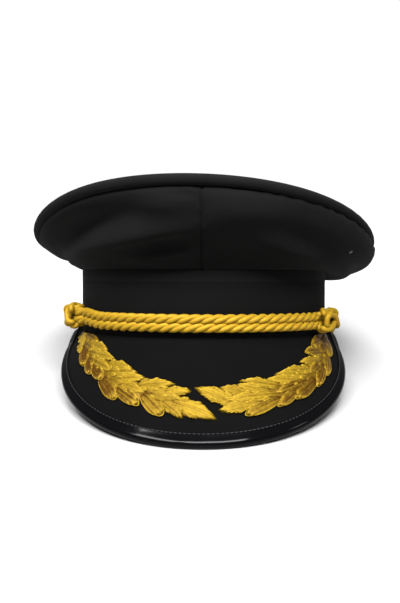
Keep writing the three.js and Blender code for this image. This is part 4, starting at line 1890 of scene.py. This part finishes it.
@dataclass
class CapCord:
    """Three-strand gold rope in one closed loop, doubled over the front and turned round a post at each side.

    Attributes:
        centre_radius: distance of a strand's centre line from the rope's.
        lay: length in which a strand goes once round.
        yarn_lay: length in which the yarns go once round their strand.
        reach: number of stations on either side that give the rope's direction.
    """

    fitting: CordFitting
    strands: int = 3
    strand_radius: float = 1.88
    centre_radius: float = 1.32
    lay: float = 20.7
    yarn_lay: float = 9.0
    step: float = 0.62
    samples: int = 1200
    reach: int = 3
    run_steps: int = 96
    stations: list[Station] = field(default_factory=list)
    length: float = 0.0

    def half_route(self) -> list[tuple[float, float]]:
        """Upper run over the front, the turn round the right post and the way back into the knot.

        Returns:
            Angles round the band and rises over the cord's centre.
        """
        fit = self.fitting
        end = fit.knot_angle + fit.angle_for(fit.knot_length / 2 + fit.settles[0])
        shares = (index / self.run_steps for index in range(self.run_steps + 1))
        run = [(lerp(-end, end, share), fit.run_height) for share in shares]
        opening = []
        for beyond in (8.0, 9.5, 11.0, 12.5, 14.0, 15.5):
            spread = smoothstep(beyond, fit.knot_length / 2, fit.post_beyond_knot - 2)
            rise = lerp(fit.run_height, fit.turn_radius, spread)
            opening.append((fit.knot_angle + fit.angle_for(beyond), rise))
        turn = []
        for degrees in range(80, -81, -16):
            around = math.radians(degrees)
            angle = fit.post_angle + fit.angle_for(fit.turn_radius * math.cos(around))
            turn.append((angle, fit.turn_radius * math.sin(around)))
        closing = [(angle, -rise) for angle, rise in reversed(opening)]
        return run + opening + turn + closing

    def measure(self) -> None:
        """Space stations evenly along the closed route, and take its length."""
        fit = self.fitting
        half = self.half_route()
        corners = []
        for angle, rise in half + [(-angle, -rise) for angle, rise in half]:
            point = CAP.oval(angle, fit.standoff(angle), fit.height_at(angle) + rise)
            corners.append((point, CAP.normal(angle)))
        corners.append(corners[0])
        gone = [0.0]
        for here, ahead in zip(corners, corners[1:]):
            gone.append(gone[-1] + (ahead[0] - here[0]).length)
        self.length = gone[-1]
        index = 0
        for sample in range(self.samples):
            target = self.length * sample / self.samples
            while gone[index + 1] < target:
                index += 1
            share = (target - gone[index]) / (gone[index + 1] - gone[index])
            self.stations.append(between(corners[index], corners[index + 1], share))

    def heading(self, index: int) -> Vector:
        """Way that the rope goes at a station."""
        return self.stations[(index + self.reach) % self.samples][0] - self.stations[index - self.reach][0]

    def frame_at(self, share: float) -> tuple[Vector, Vector, Vector]:
        """Centre of the rope.

        Args:
            share: share of the way round.

        Returns:
            The centre and two directions across the rope.
        """
        whole = share * self.samples
        index = int(whole) % self.samples
        after = (index + 1) % self.samples
        part = whole - int(whole)
        centre, out = between(self.stations[index], self.stations[after], part)
        return crossed(centre, self.heading(index).lerp(self.heading(after), part).normalized(), out)

    def strand_at(self, number: int, turns: int, front: float, share: float) -> tuple[Vector, Vector, Vector]:
        """Centre line of one strand.

        Args:
            number: which strand.
            turns: how often the strands go round along the whole rope.
            front: share of the way at which the rope is at the cap's front.
            share: share of the way round.

        Returns:
            The centre and two directions across the rope.
        """
        centre, out, across = self.frame_at(share)
        around = math.pi / 2 - (turns * (share - front) + number / self.strands) * math.tau
        offset = out * math.cos(around) + across * math.sin(around)
        return centre + offset * self.centre_radius, out, across

    def build(self, thread: Material) -> None:
        """Make the rope as one mesh of three strands.

        Args:
            thread: finish of the cord.
        """
        self.measure()
        # An even number of turns, counted from the front, lets the two runs meet strand to strand there.
        turns = 2 * round(self.length / self.lay / 2)
        foremost = min(range(self.samples // 2), key=lambda sample: abs(self.stations[sample][0].x))
        front = foremost / self.samples
        steps = round(self.length / self.step)
        strand = Strand(self.strand_radius, yarn_turns=round(self.length / self.yarn_lay))
        shape = bmesh.new()
        for number in range(self.strands):
            strand.add(shape, steps, self.length, partial(self.strand_at, number, turns, front))
        finish_piece("cap_cord", shape, thread, Slot.CORD, ["cap_cord"])
        LOG.info("cap cord is %.0f mm long", self.length)


@dataclass
class WovenKnot:
    """Woven keeper of one strand that goes three times round both runs of the cord.

    Attributes:
        half_length: half of the knot's length along the band, to the strand's centre.
        toward_front: how far it lies in front of the model's knot.
        path_radius: distance of the strand's centre from the nearer run of the cord.
        bulge: how much further it stands out on the side away from the band.
        leads: how often the strand goes round the cord.
        bights: number of its turns at each end of the knot.
        weave_depth: how far it goes over and under itself.
        end_drop: how much nearer the cord it lies at the knot's ends.
        squareness: how suddenly it crosses from one run of the cord to the other.
    """

    fitting: CordFitting
    side: Side
    half_length: float
    toward_front: float
    path_radius: float
    bulge: float
    strand_radius: float = 1.9
    yarn_lay: float = 8.0
    leads: int = 3
    bights: int = 5
    weave_depth: float = 0.8
    end_drop: float = 0.9
    squareness: float = 6.0
    steps: int = 420

    def path_point(self, share: float) -> Vector:
        """Centre line of the strand.

        Args:
            share: share of the way along it.

        Returns:
            The point in the knot's own frame.
        """
        turn = share * math.tau
        around = self.leads * turn
        end = math.cos(self.bights * turn)
        weave = self.weave_depth * math.sin(2 * self.bights * turn)
        radius = self.path_radius + weave - self.end_drop * end**4
        stretch = math.tanh(self.squareness * math.sin(around)) * self.fitting.run_height
        out = radius * math.cos(around) + self.bulge * (0.5 + 0.5 * math.cos(around))
        return Vector((out, stretch + radius * math.sin(around), self.half_length * end))

    def path(self, share: float) -> tuple[Vector, Vector, Vector]:
        """Centre of the strand.

        Args:
            share: share of the way along it.

        Returns:
            The centre and two directions across it.
        """
        step = 1e-3
        centre = self.path_point(share)
        along = (self.path_point(share + step) - self.path_point(share - step)).normalized()
        core = Vector((0.0, max(min(centre.y, self.fitting.run_height), -self.fitting.run_height), centre.z))
        return crossed(centre, along, (centre - core).normalized())

    def build(self, thread: Material) -> None:
        """Make the knot.

        Args:
            thread: finish of the cord.
        """
        fit = self.fitting
        points = [self.path_point(index / self.steps) for index in range(self.steps + 1)]
        length = sum((ahead - here).length for here, ahead in zip(points, points[1:]))
        shape = bmesh.new()
        strand = Strand(self.strand_radius, yarn_turns=round(length / self.yarn_lay))
        strand.add(shape, self.steps, length, self.path)
        name = f"cord_knot_{self.side.name.lower()}"
        angle = self.side.value * (fit.knot_angle - fit.angle_for(self.toward_front))
        finish_piece(name, shape, thread, Slot.CORD, [name], fit.on_band(angle, fit.knot_out))


@dataclass
class CordPost:
    """Turned pin with a domed head, which the end of the cord goes round."""

    fitting: CordFitting
    side: Side
    rounding: float = 0.12
    segments: int = 48

    def half_section(self) -> list[tuple[float, float]]:
        """Half of the pin's section, from its foot to the top of its dome.

        Returns:
            Distances from the pin's axis and from the band.
        """
        fit = self.fitting
        under_head = fit.cord_out + fit.diameter / 2 + fit.gap
        stem, head, top = fit.post_stem, fit.post_head, fit.post_height
        return [
            (0.0, fit.gap), (stem, fit.gap), (stem, under_head), (head - 0.2, under_head),
            (head, under_head + 0.25), (head, under_head + 0.7), (head - 0.35, under_head + 1.1),
            (head * 0.6, top - 0.25), (head * 0.3, top - 0.06), (0.0, top),
        ]

    def build(self, gilt: Material) -> None:
        """Spin the pin's half section round its own axis.

        Args:
            gilt: finish of the post.
        """
        shape = bmesh.new()
        corners = [shape.verts.new((out, across, 0.0)) for across, out in self.half_section()]
        edges = [shape.edges.new(pair) for pair in zip(corners, corners[1:])]
        bmesh.ops.spin(shape, geom=corners + edges, cent=(0, 0, 0), axis=(1, 0, 0), angle=math.tau,
                       steps=self.segments, use_merge=True)
        bmesh.ops.remove_doubles(shape, verts=shape.verts[:], dist=MERGE)
        soften(shape, self.rounding, math.radians(35), 2)
        name = f"cord_post_{self.side.name.lower()}"
        place = self.fitting.on_band(self.side.value * self.fitting.post_angle, 0.0)
        finish_piece(name, shape, gilt, Slot.POST, [name], place)


# Studio

def direction(azimuth: float, elevation: float) -> Vector:
    """Direction from the cap for an azimuth from the front and an elevation."""
    level = math.cos(elevation)
    return Vector((math.sin(azimuth) * level, -math.cos(azimuth) * level, math.sin(elevation)))


def hang(name: str, data: bpy.types.ID, place: Vector, toward: Vector) -> bpy.types.Object:
    """Put a light or a camera in the scene, facing the cap.

    Args:
        name: name of the object.
        data: the light or the camera.
        place: where it stands.
        toward: direction from the cap to it.

    Returns:
        The new object.
    """
    thing = bpy.data.objects.new(name, data)
    thing.location = place
    thing.rotation_euler = toward.to_track_quat("Z", "Y").to_euler()
    bpy.context.scene.collection.objects.link(thing)
    return thing


@dataclass(frozen=True)
class Softbox:
    """Rectangular soft light that faces the cap, in degrees, metres and watts."""

    name: str
    azimuth: float
    elevation: float
    width: float
    height: float
    power: float
    distance: float = 1.5

    def add(self, aim: Vector) -> None:
        """Hang the light so that it faces the cap.

        Args:
            aim: the point that it faces.
        """
        toward = direction(math.radians(self.azimuth), math.radians(self.elevation))
        light = bpy.data.lights.new(self.name, "AREA")
        light.shape = "RECTANGLE"
        light.size, light.size_y = self.width, self.height
        light.energy = self.power
        hang(self.name, light, aim + toward * self.distance, toward)


@dataclass
class Studio:
    """Pale floor, soft light and the camera at the photograph's angle.

    Attributes:
        azimuth, elevation, distance: place of the camera from its aim, in radians and metres.
        backdrop: brightness of the surround as the camera sees it.
        room: brightness of the surround as light on the cap.
    """

    azimuth: float = math.radians(0.99)
    elevation: float = math.radians(16.57)
    distance: float = 0.650
    aim: tuple[float, float, float] = (-0.00257, -0.00252, 0.0457)
    lens: float = 55.1
    sensor: float = 36.0
    backdrop: float = 1.02
    room: float = 0.2
    floor_radius: float = 0.6
    softboxes: tuple[Softbox, ...] = (
        Softbox("key", 12, 56, 0.9, 0.45, 50.0),
        Softbox("left_box", -42, 54, 0.7, 0.4, 30.0),
        Softbox("right_box", 78, 32, 0.3, 0.3, 2.0),
        Softbox("top_box", 180, 76, 1.2, 0.8, 48.0, 1.6),
    )

    def build(self) -> None:
        """Set up the floor, surround, lights and camera."""
        bpy.context.scene.view_settings.view_transform = "Standard"
        self.add_floor()
        self.add_surround()
        for softbox in self.softboxes:
            softbox.add(Vector(self.aim))
        self.add_camera()

    def add_floor(self) -> None:
        """Lay a plain pale floor at the height that the cap rests on."""
        shape = bmesh.new()
        bmesh.ops.create_circle(shape, cap_ends=True, segments=96, radius=self.floor_radius)
        mesh = bpy.data.meshes.new("floor")
        shape.to_mesh(mesh)
        shape.free()
        mesh.materials.append(PaintedBoard("pale_floor").material())
        floor = bpy.data.objects.new("floor", mesh)
        bpy.context.scene.collection.objects.link(floor)

    def add_surround(self) -> None:
        """Put a white backdrop behind the cap for the camera, in a room that is dim otherwise."""
        world = bpy.data.worlds.new("surround")
        bpy.context.scene.world = world
        world.use_nodes = True
        tree = world.node_tree
        seen = add_node(tree, "LightPath", "Is Camera Ray")
        strength = add_node(tree, "Mix", "Result", {"Factor": seen, "A": self.room, "B": self.backdrop})
        background = tree.nodes["Background"]
        background.inputs["Color"].default_value = (1.0, 1.0, 1.0, 1.0)
        tree.links.new(strength, background.inputs["Strength"])

    def add_camera(self) -> None:
        """Set up the camera that looks at the cap as the photograph does."""
        lens = bpy.data.cameras.new("camera")
        lens.lens = self.lens
        lens.sensor_width = self.sensor
        lens.sensor_fit = "AUTO"
        lens.clip_start = 0.01
        back = direction(self.azimuth, self.elevation)
        bpy.context.scene.camera = hang("camera", lens, Vector(self.aim) + back * self.distance, back)


def main() -> None:
    logging.basicConfig(level=logging.INFO, format="%(name)s %(message)s")
    Studio().build()
    crown = Crown()
    speck = CAP.to_part @ crown.panel(math.radians(58), 0.64)
    # The crown's and band's wools are one cloth, painted lighter on the crown and darker on the band.
    crown_wool_lit = WoolCloth("crown_wool_twill_lit", deep="#0A0A0A", light="#161616", speck=speck).material()
    band_wool_shaded = WoolCloth("band_wool_twill_shaded", deep="#070707", light="#101010").material()
    peak_cloth = WoolCloth("peak_cloth", deep="#050505", light="#0B0B0B", bump=0.25).material()
    patent = PatentLeather("patent_leather").material()
    bullion = GoldThread("bullion_thread").material()
    # The cord's thread is softer than the embroidery's, so it is duller and coarser.
    # Its deep colour, which the painted shade in its valleys takes, is redder.
    gold = GoldThread("gold_cord_thread", deep="#905508", bright="#9A811C", filament_pitch=0.35,
                      metallic=0.22, roughness=0.58).material()
    gilt = GiltBrass("gilt_brass").material()
    # The thread through the binding is waxed, which lays its fibres flat and makes it shine a little.
    grey_thread = WoolCloth("waxed_grey_thread", deep="#18181A", light="#2E2E30", rib_pitch=0.3, sheen=0.0,
                            specular=0.15, roughness=0.5).material()
    Band().build(band_wool_shaded, crown_wool_lit)
    crown.build(crown_wool_lit)
    peak = Peak()
    peak.build(peak_cloth, patent, grey_thread)
    OakSpray(peak, Side.LEFT, LEFT_LEAVES, LEFT_LOBES).build(bullion)
    OakSpray(peak, Side.RIGHT, RIGHT_LEAVES, RIGHT_LOBES).build(bullion)
    fitting = CordFitting()
    CapCord(fitting).build(gold)
    WovenKnot(fitting, Side.LEFT, half_length=5.2, toward_front=1.0, path_radius=3.9, bulge=2.2).build(gold)
    WovenKnot(fitting, Side.RIGHT, half_length=10.6, toward_front=9.0, path_radius=3.5, bulge=1.0).build(gold)
    for side in Side:
        CordPost(fitting, side).build(gilt)
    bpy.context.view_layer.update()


if __name__ == "__main__":
    main()
